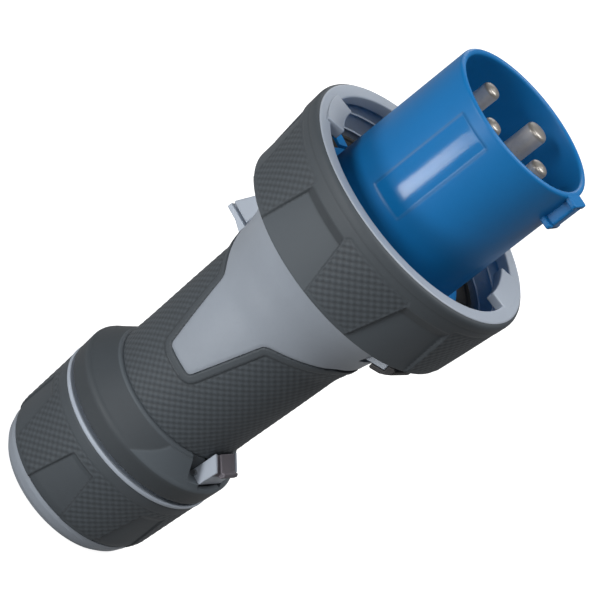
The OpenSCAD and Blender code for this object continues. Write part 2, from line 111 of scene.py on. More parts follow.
def bell(x, middle, width):
    """Bell curve exp(-t^2), with t the distance from the middle in widths."""
    return np.exp(-(((x - middle) / width) ** 2))


def distance_to(line, x, y):
    """Distance from each point (x, y) to an open polyline: the least over its segments."""
    line = np.asarray(line, float)
    a, ab = line[:-1], np.diff(line, axis=0)
    px, py = x[..., None] - a[:, 0], y[..., None] - a[:, 1]
    t = np.clip((px * ab[:, 0] + py * ab[:, 1]) / np.maximum((ab**2).sum(1), 1e-12), 0, 1)
    return np.hypot(px - t * ab[:, 0], py - t * ab[:, 1]).min(-1)


def pull_to_lines(x, y, field, levels, reach):
    """Moves grid points along the slope of a distance field, so that those within reach of a level lie on it.
    The pull is whole up to half the reach and fades to none at the reach, which keeps the rows in order."""
    for level in levels:
        d = field(x, y) - level
        e = 0.05
        gx = (field(x + e, y) - field(x - e, y)) / (2 * e)
        gy = (field(x, y + e) - field(x, y - e)) / (2 * e)
        length = np.maximum(np.hypot(gx, gy), 1e-6)
        pull = d * (1 - step_up(np.abs(d), reach * 0.5, reach))
        x, y = x - pull * gx / length, y - pull * gy / length
    return x, y


def box_field(x, y, x0, x1, y0, y1, corner=0.0):
    """Signed distance to a rectangle with round corners, below zero inside."""
    cx, cy, hx, hy = (x0 + x1) / 2, (y0 + y1) / 2, (x1 - x0) / 2 - corner, (y1 - y0) / 2 - corner
    qx, qy = np.abs(x - cx) - hx, np.abs(y - cy) - hy
    outside = np.hypot(np.maximum(qx, 0), np.maximum(qy, 0))
    return outside + np.minimum(np.maximum(qx, qy), 0) - corner


# ---------------------------------------------------------------- meshes


def put_mesh(name, points, faces, relief=None, sharp=None, polish=None):
    """New object from points in millimetres and a list of face arrays, smooth but for the flat ends. Each point may
    carry a value of painted light, below zero painted shade and above zero painted highlight, and polish is 1 where the
    surface is glossier. sharp is the angle in degrees above which an edge stays sharp."""
    mesh = bpy.data.meshes.new(name)
    points = np.asarray(points, np.float32).reshape(-1, 3) * MM
    loops = np.concatenate([f.ravel() for f in faces])
    sizes = np.concatenate([np.full(len(f), f.shape[1]) for f in faces])
    mesh.vertices.add(len(points))
    mesh.vertices.foreach_set("co", points.ravel())
    mesh.loops.add(len(loops))
    mesh.loops.foreach_set("vertex_index", loops.astype(np.int32))
    mesh.polygons.add(len(sizes))
    mesh.polygons.foreach_set("loop_start", np.concatenate([[0], np.cumsum(sizes)[:-1]]).astype(np.int32))
    mesh.polygons.foreach_set("use_smooth", sizes < 5)
    mesh.update(calc_edges=True)
    for label, values in (("relief", relief), ("polish", polish)):
        if values is not None:
            layer = mesh.attributes.new(label, "FLOAT", "POINT")
            layer.data.foreach_set("value", np.asarray(values, np.float32).ravel())
    mesh.validate()
    if sharp:
        mesh.set_sharp_from_angle(angle=math.radians(sharp))
    piece = bpy.data.objects.new(name, mesh)
    bpy.context.scene.collection.objects.link(piece)
    return piece


def grid_faces(rows, columns, wrap_rows=False, wrap_columns=False):
    """Quads of a grid whose point (i, j) has the index i * columns + j."""
    i = np.arange(rows if wrap_rows else rows - 1)
    j = np.arange(columns if wrap_columns else columns - 1)
    i, j = (g.ravel() for g in np.meshgrid(i, j, indexing="ij"))
    i1, j1 = (i + 1) % rows, (j + 1) % columns
    return np.stack([i * columns + j, i1 * columns + j, i1 * columns + j1, i * columns + j1], 1)


def capped(points):
    """Points and faces of a row of closed sections, with a flat face at each end."""
    rows, count = points.shape[:2]
    order = np.arange(count)
    caps = [order[None, ::-1], ((rows - 1) * count + order)[None]]
    return points.reshape(-1, 3), [grid_faces(rows, count, False, True)] + caps


def turned_points(angles, radii, heights):
    """Points (r cos a, r sin a, z)."""
    return np.stack(np.broadcast_arrays(radii * np.cos(angles), radii * np.sin(angles), heights), -1)


def turned(outline, count):
    """Points and faces of a closed [radius, height] outline carried once round the axis."""
    outline = np.asarray(outline, float)
    points = turned_points(around(count), outline[:, 0], outline[:, 1])
    return points.reshape(-1, 3), [grid_faces(count, len(outline), True, True)]


def lathe(line, at, count=64):
    """Points and faces of an open [radius, height] line from axis to axis, carried round the vertical through at.
    The two ends are single points, each closed by a fan."""
    line = np.asarray(line, float)
    body = line[1:-1]
    points = turned_points(around(count), body[:, 0], body[:, 1]).reshape(-1, 3)
    ends = np.array([[0, 0, line[0, 1]], [0, 0, line[-1, 1]]])
    rows = len(body)
    k = np.arange(count)
    k1 = (k + 1) % count
    low = np.stack([k1 * rows, k * rows, 0 * k + count * rows], 1)
    high = np.stack([k * rows + rows - 1, k1 * rows + rows - 1, 0 * k + count * rows + 1], 1)
    points = np.concatenate([points, ends]) + np.array([at[0], at[1], 0.0])
    return points, [grid_faces(count, rows, True, False), low, high]


def skin(angles, radii, heights, back, relief=None):
    """Points, faces and painted light of a closed skin. angles, radii, heights and the painted light, painted shade
    below zero and painted highlight above, are arrays over (column, row) of its outer side, and back is the [radius,
    height] line that closes each section behind it, from the last row to the first, one for all columns or one for
    each."""
    back = np.asarray(back, float)
    back = np.broadcast_to(back, (len(angles),) + back.shape[-2:])
    inner = turned_points(angles[:, -1:], back[..., 0], back[..., 1])
    points = np.concatenate([turned_points(angles, radii, heights), inner], 1)
    values = np.zeros(points.shape[:2])
    if relief is not None:
        values[:, : angles.shape[1]] = relief
    return points.reshape(-1, 3), [grid_faces(len(angles), points.shape[1], True, True)], values.ravel()


def slab(outline, width, edge, at=0.0, shape=None, upright=False, middle=0):
    """Points and faces of a closed outline in (y, z) carried along X round x = at, or one in (x, y) carried upright
    round z = at, with round rims: towards each end the outline moves in by edge * (1 - cos t) while the section
    goes on by edge * sin t. outline is the corners and their radii. middle adds sections between, and shape may
    bend the points."""
    p, radii = np.asarray(outline[0], float), np.asarray(outline[1], float)
    if (p[:, 0] * np.roll(p[:, 1], -1) - p[:, 1] * np.roll(p[:, 0], -1)).sum() < 0:
        p, radii = p[::-1], radii[::-1]
    ahead = np.roll(p, -1, 0) - p
    ahead /= np.linalg.norm(ahead, axis=1, keepdims=True)
    behind = np.roll(ahead, 1, 0)
    corner = np.sign(behind[:, 0] * ahead[:, 1] - behind[:, 1] * ahead[:, 0])
    inward = np.stack([-ahead[:, 1] - behind[:, 1], ahead[:, 0] + behind[:, 0]], 1)
    inward /= 1 + (ahead * behind).sum(1, keepdims=True)
    t = np.linspace(0, np.pi / 2, 5)
    inset = edge * (1 - np.cos(t))
    reach = width / 2 - edge + edge * np.sin(t)
    inset = np.concatenate([inset[::-1], np.zeros(middle), inset])
    way = np.concatenate([-reach[::-1], np.linspace(-reach[0], reach[0], middle + 2)[1:-1], reach]) + at
    flat = np.array([filleted(p + d * inward, np.maximum(radii - d * corner, 0.03)) for d in inset])
    points = np.concatenate([way[:, None, None] + 0 * flat[..., :1], flat], -1)
    if upright:
        points = np.roll(points, -1, -1)
    return capped(shape(points) if shape else points)


def about_axis(part, degrees):
    """A (points, faces) pair turned about the plug's axis."""
    c, s = math.cos(math.radians(degrees)), math.sin(math.radians(degrees))
    return part[0] @ np.array([[c, s, 0], [-s, c, 0], [0, 0, 1]]), part[1]


def painted_paler(part, relief):
    """A piece's points and faces with one value of painted light all over, which paints it paler as if it were more
    lit.
    """
    return part[0], part[1], np.full(len(part[0]), relief)


def together(*parts):
    """Several pieces of (points, faces) or (points, faces, painted light) as one."""
    starts = np.cumsum([0] + [len(part[0]) for part in parts])
    return (
        np.concatenate([part[0] for part in parts]),
        [face + start for part, start in zip(parts, starts) for face in part[1]],
        np.concatenate([part[2] if len(part) > 2 else np.zeros(len(part[0])) for part in parts]),
    )


# ---------------------------------------------------------------- sizes that several pieces share

# [radius, height] lines of the grip's outer side and of the flared neck in front of it.
GRIP_SKIN = [(33.0, 70.6), (33.3, 84), (34.3, 108), (35.1, 131.5), (36.6, 138.6), (37.7, 147.3)]
NECK = [(37.55, 147.3), (39.2, 153.5), (41.2, 159.5), (43.4, 163.8), (45.9, 167.2), (46.4, 168.2)]
BLOCK_TURNS = (82, 262)  # degrees from +X to the two blocks on the sleeve's flange


def seam_line():
    """The seam between soft cover and hard shell over a quarter turn, in unrolled (arc, height) millimetres
    from the middle of a tongue. The solid's line is given in (y, z), and the arc is r * asin(y / r)."""
    corner = arc((5.8, 98.5), 2.5, 270, 345, 8)
    shoulder = [(16.3, 128.2), (16.9, 130.3), (17.7, 131.5), (19.2, 132.5), (21.5, 133.7)]
    line = np.concatenate([[(0, 96.0)], corner, shoulder, [(27.3, 136.6), (31, 138.7), (33.4, 140.2), (36.2, 142.9)]])
    r = np.interp(line[:, 1], [z for _, z in GRIP_SKIN], [r for r, _ in GRIP_SKIN])
    line[:, 0] = r * np.arcsin(line[:, 0] / r)
    return np.concatenate([line, [(57.5, 143.2), (70, 143.2)]])


SEAM = seam_line()


def seam_field(x, z):
    """Signed distance to the seam, below zero on the side of the tongue."""
    x = np.abs(x)
    half = np.interp(z, SEAM[:, 1], SEAM[:, 0], left=-1, right=99)
    return np.where(x < half, -1.0, 1.0) * distance_to(SEAM, x, z)


def tab_field(x, z):
    """Signed distance to the foot of the upright tab, with x the arc from twelve o'clock."""
    return box_field(x, z, -8.3, 8.3, 130.7, 190, 0.5)


def from_tongue(angle, radius):
    """Arc from the middle of the nearer tongue, at 0 or 180 degrees."""
    middle = np.where(np.cos(angle) < 0, np.pi, 0.0)
    return ((angle - middle + np.pi) % (2 * np.pi) - np.pi) * radius


PITCH = 3.65  # of the fine pattern, in millimetres
CELLS = 8  # grid steps in a pitch


def repeats(radius):
    """How many times the fine pattern repeats round the axis at a radius."""
    return int(np.round(2 * np.pi * radius / PITCH))


def diamonds(angle, z, radius):
    """Height from 0 to 1 of a pattern of small soft pyramids: two sets of slanting ridges, each a triangle wave of
    the sum or the difference of the turns round the axis and the height, with their crests rounded a little. The
    second set stands higher."""
    u, v = angle * repeats(radius) / (2 * np.pi), z / PITCH
    ridge = lambda w: 1 - np.abs(2 * (w - np.floor(w)) - 1)
    soft = lambda h: h - 0.12 * h**6
    return (0.85 * soft(ridge(u + v)) + 1.15 * soft(ridge(u - v))) / 1.76


def pattern_rows(first, last):
    """Heights that fall on the crests and valleys of the pattern, between two heights."""
    step = PITCH / CELLS
    return np.arange(np.ceil(first / step), np.floor(last / step) + 1) * step


def pattern_columns(radius):
    """Angles that fall on the crests and valleys of the pattern."""
    return around(repeats(radius) * CELLS)


def pattern_painted_light(pyramids):
    """Painted light of the fine pattern, from painted shade in its valleys to painted highlight on its crests."""
    return np.interp(pyramids, [0.0, 0.35, 0.6, 0.8, 1.0], [-0.5, -0.35, -0.05, 0.15, 0.3])


# ---------------------------------------------------------------- shader groups


def feed(tree, socket, value):
    """Links an output to an input, or sets the input's own value."""
    if isinstance(value, bpy.types.NodeSocket):
        tree.links.new(value, socket)
    else:
        socket.default_value = value


def node(tree, kind, inputs=(), **values):
    """New node with its properties set, and its inputs by name or number through a dictionary."""
    made = tree.nodes.new(kind)
    for key, value in values.items():
        setattr(made, key, value)
    for key, value in dict(inputs).items():
        feed(tree, made.inputs[key], value)
    return made


def maths(tree, operation, *values, clamp=False):
    """Math node's output."""
    return node(tree, "ShaderNodeMath", dict(enumerate(values)), operation=operation, use_clamp=clamp).outputs[0]


def spread(tree, value, low, high, start=0.0, end=1.0):
    """Value mapped from start..end to low..high, held at the ends."""
    ends = {"Value": value, "From Min": start, "From Max": end, "To Min": low, "To Max": high}
    return node(tree, "ShaderNodeMapRange", ends).outputs["Result"]


def noise(tree, place, scale, detail, roughness=0.5):
    """Noise at a place, from 0 to 1."""
    values = {"Vector": place, "Scale": scale, "Detail": detail, "Roughness": roughness}
    return node(tree, "ShaderNodeTexNoise", values).outputs["Fac"]


def object_place(tree):
    """Object coordinates."""
    return node(tree, "ShaderNodeTexCoord").outputs["Object"]


def attribute(tree, name):
    """A value of the piece's points, 0 where the piece has none."""
    return node(tree, "ShaderNodeAttribute", attribute_name=name).outputs["Fac"]


def shader_group(name, inputs, outputs):
    """Node group of numbers. Returns it with its inputs, given with their defaults, and its outputs, as they are
    inside it."""
    tree = bpy.data.node_groups.new(name, "ShaderNodeTree")
    for label, value in inputs.items():
        tree.interface.new_socket(label, in_out="INPUT", socket_type="NodeSocketFloat").default_value = value
    for label in outputs:
        tree.interface.new_socket(label, in_out="OUTPUT", socket_type="NodeSocketFloat")
    return tree, tree.nodes.new("NodeGroupInput").outputs, tree.nodes.new("NodeGroupOutput").inputs


def grain_group():
    """Moulded grain: two sizes of noise added, the finer at a third of the weight."""
    tree, given, out = shader_group("moulded_grain", {"Per Metre": 2500.0}, ["Height"])
    place = object_place(tree)
    coarse = noise(tree, place, given[0], 2.0, 0.6)
    fine = noise(tree, place, maths(tree, "MULTIPLY", given[0], 3.3), 1.0)
    feed(tree, out[0], maths(tree, "MULTIPLY_ADD", fine, 0.33, coarse))
    return tree


def drift_group():
    """Slow unevenness of tone and sheen: a broad noise with a smaller one over it, and the smaller one's specks."""
    tree, given, out = shader_group("tone_drift", {"Per Metre": 30.0}, ["Drift", "Specks"])
    place = object_place(tree)
    broad = noise(tree, place, given[0], 4.0, 0.55)
    small = noise(tree, place, maths(tree, "MULTIPLY", given[0], 14.0), 3.0, 0.7)
    both = maths(tree, "MULTIPLY_ADD", small, 0.3, maths(tree, "MULTIPLY", broad, 0.7))
    feed(tree, out[0], spread(tree, both, 0, 1, 0.3, 0.7))
    feed(tree, out[1], spread(tree, small, 0, 1, 0.56, 0.68))
    return tree


def rub_group():
    """Rubbed edges: where the normal of a small bevel leaves the surface's own, broken up by noise."""
    tree, given, out = shader_group("rubbed_edges", {"Radius": 0.0008, "Gain": 3.0}, ["Edges"])
    bevel = node(tree, "ShaderNodeBevel", {"Radius": given[0]}, samples=4).outputs[0]
    own = node(tree, "ShaderNodeNewGeometry").outputs["Normal"]
    dot = node(tree, "ShaderNodeVectorMath", {0: bevel, 1: own}, operation="DOT_PRODUCT").outputs["Value"]
    off = maths(tree, "MULTIPLY", maths(tree, "SUBTRACT", 1.0, dot), given[1])
    broken = spread(tree, noise(tree, object_place(tree), 220.0, 4.0, 0.65), 0.25, 1.0, 0.35, 0.65)
    feed(tree, out[0], maths(tree, "MULTIPLY", off, broken, clamp=True))
    return tree


def turning_group():
    """Fine marks of turning: noise drawn out fifty times across the axis, so that it varies along it."""
    tree, given, out = shader_group("turning_marks", {"Per Metre": 5000.0}, ["Marks"])
    drawn = {0: object_place(tree), 1: (0.02, 0.02, 1.0)}
    drawn = node(tree, "ShaderNodeVectorMath", drawn, operation="MULTIPLY").outputs[0]
    feed(tree, out[0], noise(tree, drawn, given[0], 3.0))
    return tree


GROUPS = {}


def effect(tree, maker, inputs):
    """Outputs of a shared group placed in a material with its own values. The group is made at its first use."""
    if maker not in GROUPS:
        GROUPS[maker] = maker()
    return node(tree, "ShaderNodeGroup", inputs, node_tree=GROUPS[maker]).outputs


# ---------------------------------------------------------------- materials

MATERIALS = {}
PAINTED_SHADE, PAINTED_HIGHLIGHT, PAINTED_METAL_SHADE = 0.6, 1.3, 0.6  # shares of the colour for painted shade where the painted light is -1 and painted highlight where it is 1, and for painted shade on metal where it is -1
POLISHED = 0.13  # roughness where polish is 1


def linear(colour):
    """Linear colour from one written in screen values."""
    c = np.clip(np.asarray(colour, float), 0, 1)
    return tuple(np.where(c <= 0.04045, c / 12.92, ((c + 0.055) / 1.055) ** 2.4)) + (1.0,)


def mixed_colour(tree, factor, a, b):
    """Mix of two colours or colour outputs."""
    return node(tree, "ShaderNodeMix", {0: factor, 6: a, 7: b}, data_type="RGBA").outputs[2]


def new_material(name):
    """Material kept under its name, with its tree and shader."""
    material = MATERIALS[name] = bpy.data.materials.new(name)
    material.use_nodes = True
    return material, material.node_tree, material.node_tree.nodes["Principled BSDF"]


def dress(tree, shader, body, rough, height, depth):
    """Links the colour, the roughness and a bump of the given depth in metres to the shader."""
    bump = node(tree, "ShaderNodeBump", {"Strength": 1.0, "Distance": depth, "Height": height})
    for label, value in (("Base Color", body), ("Roughness", rough), ("Normal", bump.outputs[0])):
        tree.links.new(value, shader.inputs[label])


def finish_material(name, colour, roughness, drift=0.06, grain=2500.0, depth=0.00002, rub=0.25, rub_radius=0.0008,
                    specular=0.5):
    """Moulded plastic or rubber: colour drifts a little darker and lighter, the piece's painted light darkens the
    colour as painted shade below zero and makes it paler as painted highlight above zero, edges are rubbed paler, sheen
    follows the drift and the polish, and a fine grain stands in the bump."""
    if name in MATERIALS:
        return MATERIALS[name]
    material, tree, shader = new_material(name)
    base = np.asarray(colour, float)
    slow = effect(tree, drift_group, {"Per Metre": 26.0})
    edges = effect(tree, rub_group, {"Radius": rub_radius, "Gain": rub * 8})["Edges"]
    relief = attribute(tree, "relief")
    body = mixed_colour(tree, slow["Drift"], linear(base * (1 - drift)), linear(base * (1 + drift)))
    body = mixed_colour(tree, spread(tree, slow["Specks"], 0, 0.12), body, linear(base * 0.86))
    # Painted shade where the piece's painted light is below zero, painted highlight where it is above.
    body = mixed_colour(tree, spread(tree, relief, 1, 0, -1, 0), body, linear(base * PAINTED_SHADE))
    body = mixed_colour(tree, spread(tree, relief, 0, 1), body, linear(base * PAINTED_HIGHLIGHT))
    body = mixed_colour(tree, spread(tree, edges, 0, 0.75), body, linear(base * (1 + rub) + rub * 0.1))
    rough = spread(tree, slow["Drift"], roughness - 0.05, roughness + 0.06)
    rough = maths(tree, "MULTIPLY_ADD", edges, -0.08, rough)
    rough = maths(tree, "MULTIPLY_ADD", attribute(tree, "polish"), POLISHED - roughness, rough)
    dress(tree, shader, body, rough, effect(tree, grain_group, {"Per Metre": grain})["Height"], depth)
    shader.inputs["Specular IOR Level"].default_value = specular
    return material


def metal_material(name, colour, roughness, marks=5000.0, depth=0.000006, metal=1.0):
    """Plated or bright metal: turning marks in sheen and bump, slow drift in tone, edges rubbed brighter, and painted
    shade, a darker tone, where the piece's painted light is below zero."""
    if name in MATERIALS:
        return MATERIALS[name]
    material, tree, shader = new_material(name)
    base = np.asarray(colour, float)
    slow = effect(tree, drift_group, {"Per Metre": 60.0})["Drift"]
    edges = effect(tree, rub_group, {"Radius": 0.0005, "Gain": 2.0})["Edges"]
    lines = effect(tree, turning_group, {"Per Metre": marks})["Marks"]
    body = mixed_colour(tree, slow, linear(base * 0.9), linear(base * 1.04))
    # Painted shade where the piece's painted light is below zero.
    body = mixed_colour(tree, spread(tree, attribute(tree, "relief"), 1, 0, -1, 0), body, linear(base * PAINTED_METAL_SHADE))
    body = mixed_colour(tree, spread(tree, edges, 0, 0.6), body, linear(base * 1.1))
    rough = maths(tree, "MULTIPLY_ADD", lines, 0.12, spread(tree, slow, roughness - 0.08, roughness))
    dress(tree, shader, body, rough, lines, depth)
    shader.inputs["Metallic"].default_value = metal
    return material


# ---------------------------------------------------------------- settings


class PlugColours(bpy.types.PropertyGroup):
    """Colours of the mouldings, as they look on screen."""

    shell: FloatVectorProperty(
        name="Hard Shell", description="Light grey hard shell", default=(0.562, 0.592, 0.632), subtype="COLOR", size=3)
    cover: FloatVectorProperty(
        name="Soft Cover", description="Dark grey soft covers", default=(0.272, 0.295, 0.315), subtype="COLOR", size=3)
    sleeve: FloatVectorProperty(
        name="Sleeve", description="Blue contact sleeve", default=(0.075, 0.433, 0.68), subtype="COLOR", size=3)
    carrier: FloatVectorProperty(
        name="Carrier", description="Contact carrier", default=(0.08, 0.25, 0.48), subtype="COLOR", size=3)
    seal: FloatVectorProperty(
        name="Seals", description="Rubber seals", default=(0.1, 0.095, 0.09), subtype="COLOR", size=3)
    pad: FloatVectorProperty(
        name="Latch Pads", description="Soft pads of the latches", default=(0.36, 0.345, 0.37), subtype="COLOR", size=3)
    contact: FloatVectorProperty(
        name="Contacts", description="Plated contacts", default=(0.96, 0.93, 0.89), subtype="COLOR", size=3)


class PlugShape(bpy.types.PropertyGroup):
    """Sizes of the surface detail."""

    pyramid: FloatProperty(
        name="Pattern Height", description="Height of the fine pattern on the covers", unit="LENGTH", default=0.0003)
    border: FloatProperty(
        name="Border Width", description="Width of the raised border round each tongue", unit="LENGTH",
        default=0.0038)
    field_drop: FloatProperty(
        name="Field Depth", description="How far the patterned field lies below the border", unit="LENGTH",
        default=0.0005)
    label_turn: FloatProperty(
        name="Label Turn", description="Turn of the label recess about the axis", subtype="ANGLE",
        default=math.radians(184.4))
    key_turn: FloatProperty(
        name="Key Turn", description="Turn of the key from six o'clock", subtype="ANGLE", default=math.radians(6))
    lug_middle: FloatProperty(
        name="Lug Place", description="Middle of the first bayonet lug", subtype="ANGLE", default=math.radians(122.5))


class PlugStudio(bpy.types.PropertyGroup):
    """Camera and light."""

    distance: FloatProperty(
        name="Camera Distance", description="Distance from the middle of the plug", unit="LENGTH", default=1.138)
    tilt: FloatProperty(
        name="Camera Tilt", description="How steeply the camera looks down", subtype="ANGLE",
        default=math.radians(25.18))
    turn: FloatProperty(
        name="Camera Turn", description="Turn of the camera about the plug's axis", subtype="ANGLE",
        default=math.radians(19.5))
    roll: FloatProperty(
        name="Camera Roll", description="Angle of the plug's axis in the picture", subtype="ANGLE",
        default=math.radians(38.3))
    lens: FloatProperty(name="Lens", description="Focal length", unit="CAMERA", default=169.0)
    strip: FloatProperty(
        name="Strip Light", description="Power of the low strip in front of the plug, in watts", default=0.5)
    key: FloatProperty(name="Key Light", description="Power of the low soft light at the side, in watts", default=7.4)
    top: FloatProperty(
        name="Top Light", description="Power of the soft light above the camera's side, in watts", default=5.6)
    far: FloatProperty(
        name="Far Light", description="Power of the soft light above and behind, in watts", default=10.6)
    back: FloatProperty(
        name="Back Light", description="Power of the soft light on the side away from the camera, in watts",
        default=2.0)
    ambient: FloatProperty(name="Room Light", description="Strength of the even light of the room", default=0.03)
    mirrored: FloatProperty(
        name="Background in Reflections", description="Share of the white background in reflections", default=0.1)


def settings():
    return bpy.context.scene.plug_colours, bpy.context.scene.plug_shape, bpy.context.scene.plug_studio


SOFT = {"roughness": 0.6, "drift": 0.05, "grain": 2600, "depth": 0.00003, "rub": 0.2, "rub_radius": 0.0006,
        "specular": 0.35}
PAD = {"roughness": 0.6, "drift": 0.06, "grain": 2200, "depth": 0.00003, "rub": 0.3, "specular": 0.4}
# The moulded materials: colour setting, share of it, slot, and values of finish_material.
MOULDED = {
    "shell_plastic": ("shell", 1.0, "shell_grey",
                      {"roughness": 0.46, "drift": 0.025, "grain": 3200, "depth": 0.000012, "rub": 0.12}),
    "sleeve_plastic": ("sleeve", 1.0, "sleeve_blue",
                       {"roughness": 0.42, "drift": 0.03, "grain": 2200, "depth": 0.000008, "rub": 0.05,
                        "specular": 0.3}),
    "cover_rubber": ("cover", 1.0, "soft_grey", SOFT),
    "belt_rubber": ("cover", 0.93, "soft_grey", SOFT),
    "seal_rubber": ("seal", 1.0, "seal_black", {"roughness": 0.6, "drift": 0.1, "grain": 2400, "rub": 0.2,
                                                "specular": 0.3}),
    "pad_rubber": ("pad", 1.0, "pad_black", PAD),
    # The front latch's pad takes a darker share of the pad colour: painted shade for its underside, which lies in
    # shadow.
    "front_pad_rubber": ("pad", 0.35, "pad_black", PAD),
    "carrier_plastic": ("carrier", 1.0, "", {"roughness": 0.5, "drift": 0.04, "depth": 0.00001, "rub": 0.15}),
}


def moulded_material(name):
    """One of the moulded materials, in its colour of the settings."""
    group, share, _, values = MOULDED[name]
    return finish_material(name, np.array(getattr(settings()[0], group)) * share, **values)


def placed(piece, body, material, nodes=()):
    """Gives a piece its material and body, and lets it stand for the nodes."""
    piece.data.materials.append(material)
    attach(piece, body)
    if nodes:
        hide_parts(*nodes)


def moulded(name, part, body, material, *nodes, **look):
    """New piece of moulded plastic or rubber from points, faces and, where it has one, painted light."""
    placed(put_mesh(name, *part, **look), body, moulded_material(material), nodes)


# ---------------------------------------------------------------- the pieces


class Builder(bpy.types.Operator):
    """Shared start of the piece operators."""

    bl_options = {"REGISTER", "UNDO"}


class PLUG_OT_sleeve(Builder):
    """Build the blue contact sleeve with its key, its flange blocks and its bare label recess"""

    bl_idname = "plug.sleeve"
    bl_label = "Contact Sleeve"

    def execute(self, context):
        _, shape, _ = settings()
        r, inner, top, lip = 35.5, 32.7, 262.3, 1.4
        base = filleted(
            [(inner, 172.7), (49.4, 172.7), (49.4, 184), (41, 184), (41, 188.6), (r, 188.6), (r, 190.6)],
            [0.1, 0.4, 0.3, 0.2, 1.0, 1.9, 0.1], 4)[:-5]
        back = np.concatenate([arc(((r + inner) / 2, top - lip), lip, 0, 180, 13), [(inner, 259), (inner, 225)], base])
        rows = np.concatenate([np.arange(191.2, 206, 1.2), np.arange(206.2, 260.4, 0.5)])
        a, z = grid(around(396), rows)
        x = ((a - shape.label_turn) * r + np.pi * r) % (2 * np.pi * r) - np.pi * r
        field = lambda x, z: box_field(x, z, -8.6, 8.6, 209.5, 256, 0.7)
        x1, z1 = pull_to_lines(x, z, field, (0.3, -0.3), 0.7)
        d = field(x1, z1)
        drop = 0.3 * step_up(-d, -0.4, 0.4)
        # A line of painted shade runs along the edge of the label recess.
        part = skin(a + (x1 - x) / r, r - drop, z1, back, -0.4 * bell(d, 0, 0.45))
        polish = np.zeros((len(a), len(rows) + len(back)))
        polish[:, : len(rows)] = step_up(-d, 0.7, 1.3)
        moulded("sleeve_body", part, "housing", "sleeve_plastic", "contact_sleeve", polish=polish)

        bar, end = (([(-half, -34.2), (-half, -40.1), (half, -40.1), (half, -34.2)], [0.1, 1.2, 1.2, 0.1])
                    for half in (3.5, 5.3))
        key = [slab(bar, 14.4, 0.2, at=254.4, upright=True)]
        key += [slab(end, 2.2, 0.5, at=z, upright=True) for z in (248.0, 261.0)]
        key = [about_axis(part, math.degrees(shape.key_turn)) for part in key]
        block = ([(42.5, -3), (48.8, -3), (48.8, 3), (42.5, 3)], [0.2, 0.5, 0.5, 0.2])
        blocks = [about_axis(slab(block, 5, 0.4, at=186.1, upright=True), turn) for turn in BLOCK_TURNS]
        moulded("sleeve_key", together(*key, *blocks), "housing", "sleeve_plastic", sharp=50)
        return {"FINISHED"}


class PLUG_OT_contacts(Builder):
    """Build the four round contacts with domed tips"""

    bl_idname = "plug.contacts"
    bl_label = "Contacts"

    def execute(self, context):
        colours, _, _ = settings()
        nickel = metal_material("contact_nickel", colours.contact, 0.3, metal=0.45)
        circle, tip = 18.5, 1.9
        for name, width, turn in (("earth", 10.0, 0), ("line_1", 8.0, 90), ("line_2", 8.0, 180), ("line_3", 8.0, 270)):
            h = width / 2
            dome = arc((h - tip, 258.5 - tip), tip, 0, 80, 9)
            crown = np.linspace(0.8, 0.2, 3)
            crown = np.stack([(h - tip) * crown, 259.0 - 0.5 * crown**2], 1)
            line = np.concatenate([
                [(0, 170.5), (4.9, 170.4), (5.0, 170), (5.0, 153.4), (5.4, 153.05), (6.8, 153.05), (7.15, 153.4),
                 (7.15, 190), (6.3, 191.2), (6.2, 193.3), (h + 0.25, 193.3), (h + 0.25, 207.0), (h, 207.3), (h, 230)],
                dome, crown, [(0, 259.0)]])
            turn = math.radians(turn)
            points, faces = lathe(line, (circle * math.cos(turn), circle * math.sin(turn)))
            # The tips are darker: painted shade that dims their highlights.
            tip_painted_shade = -step_up(points[:, 2], 256.4, 257.4)
            pin = put_mesh("pin_" + name + "_turned", points, faces, tip_painted_shade, sharp=40)
            placed(pin, "housing", nickel, ["pin_" + name])
        return {"FINISHED"}


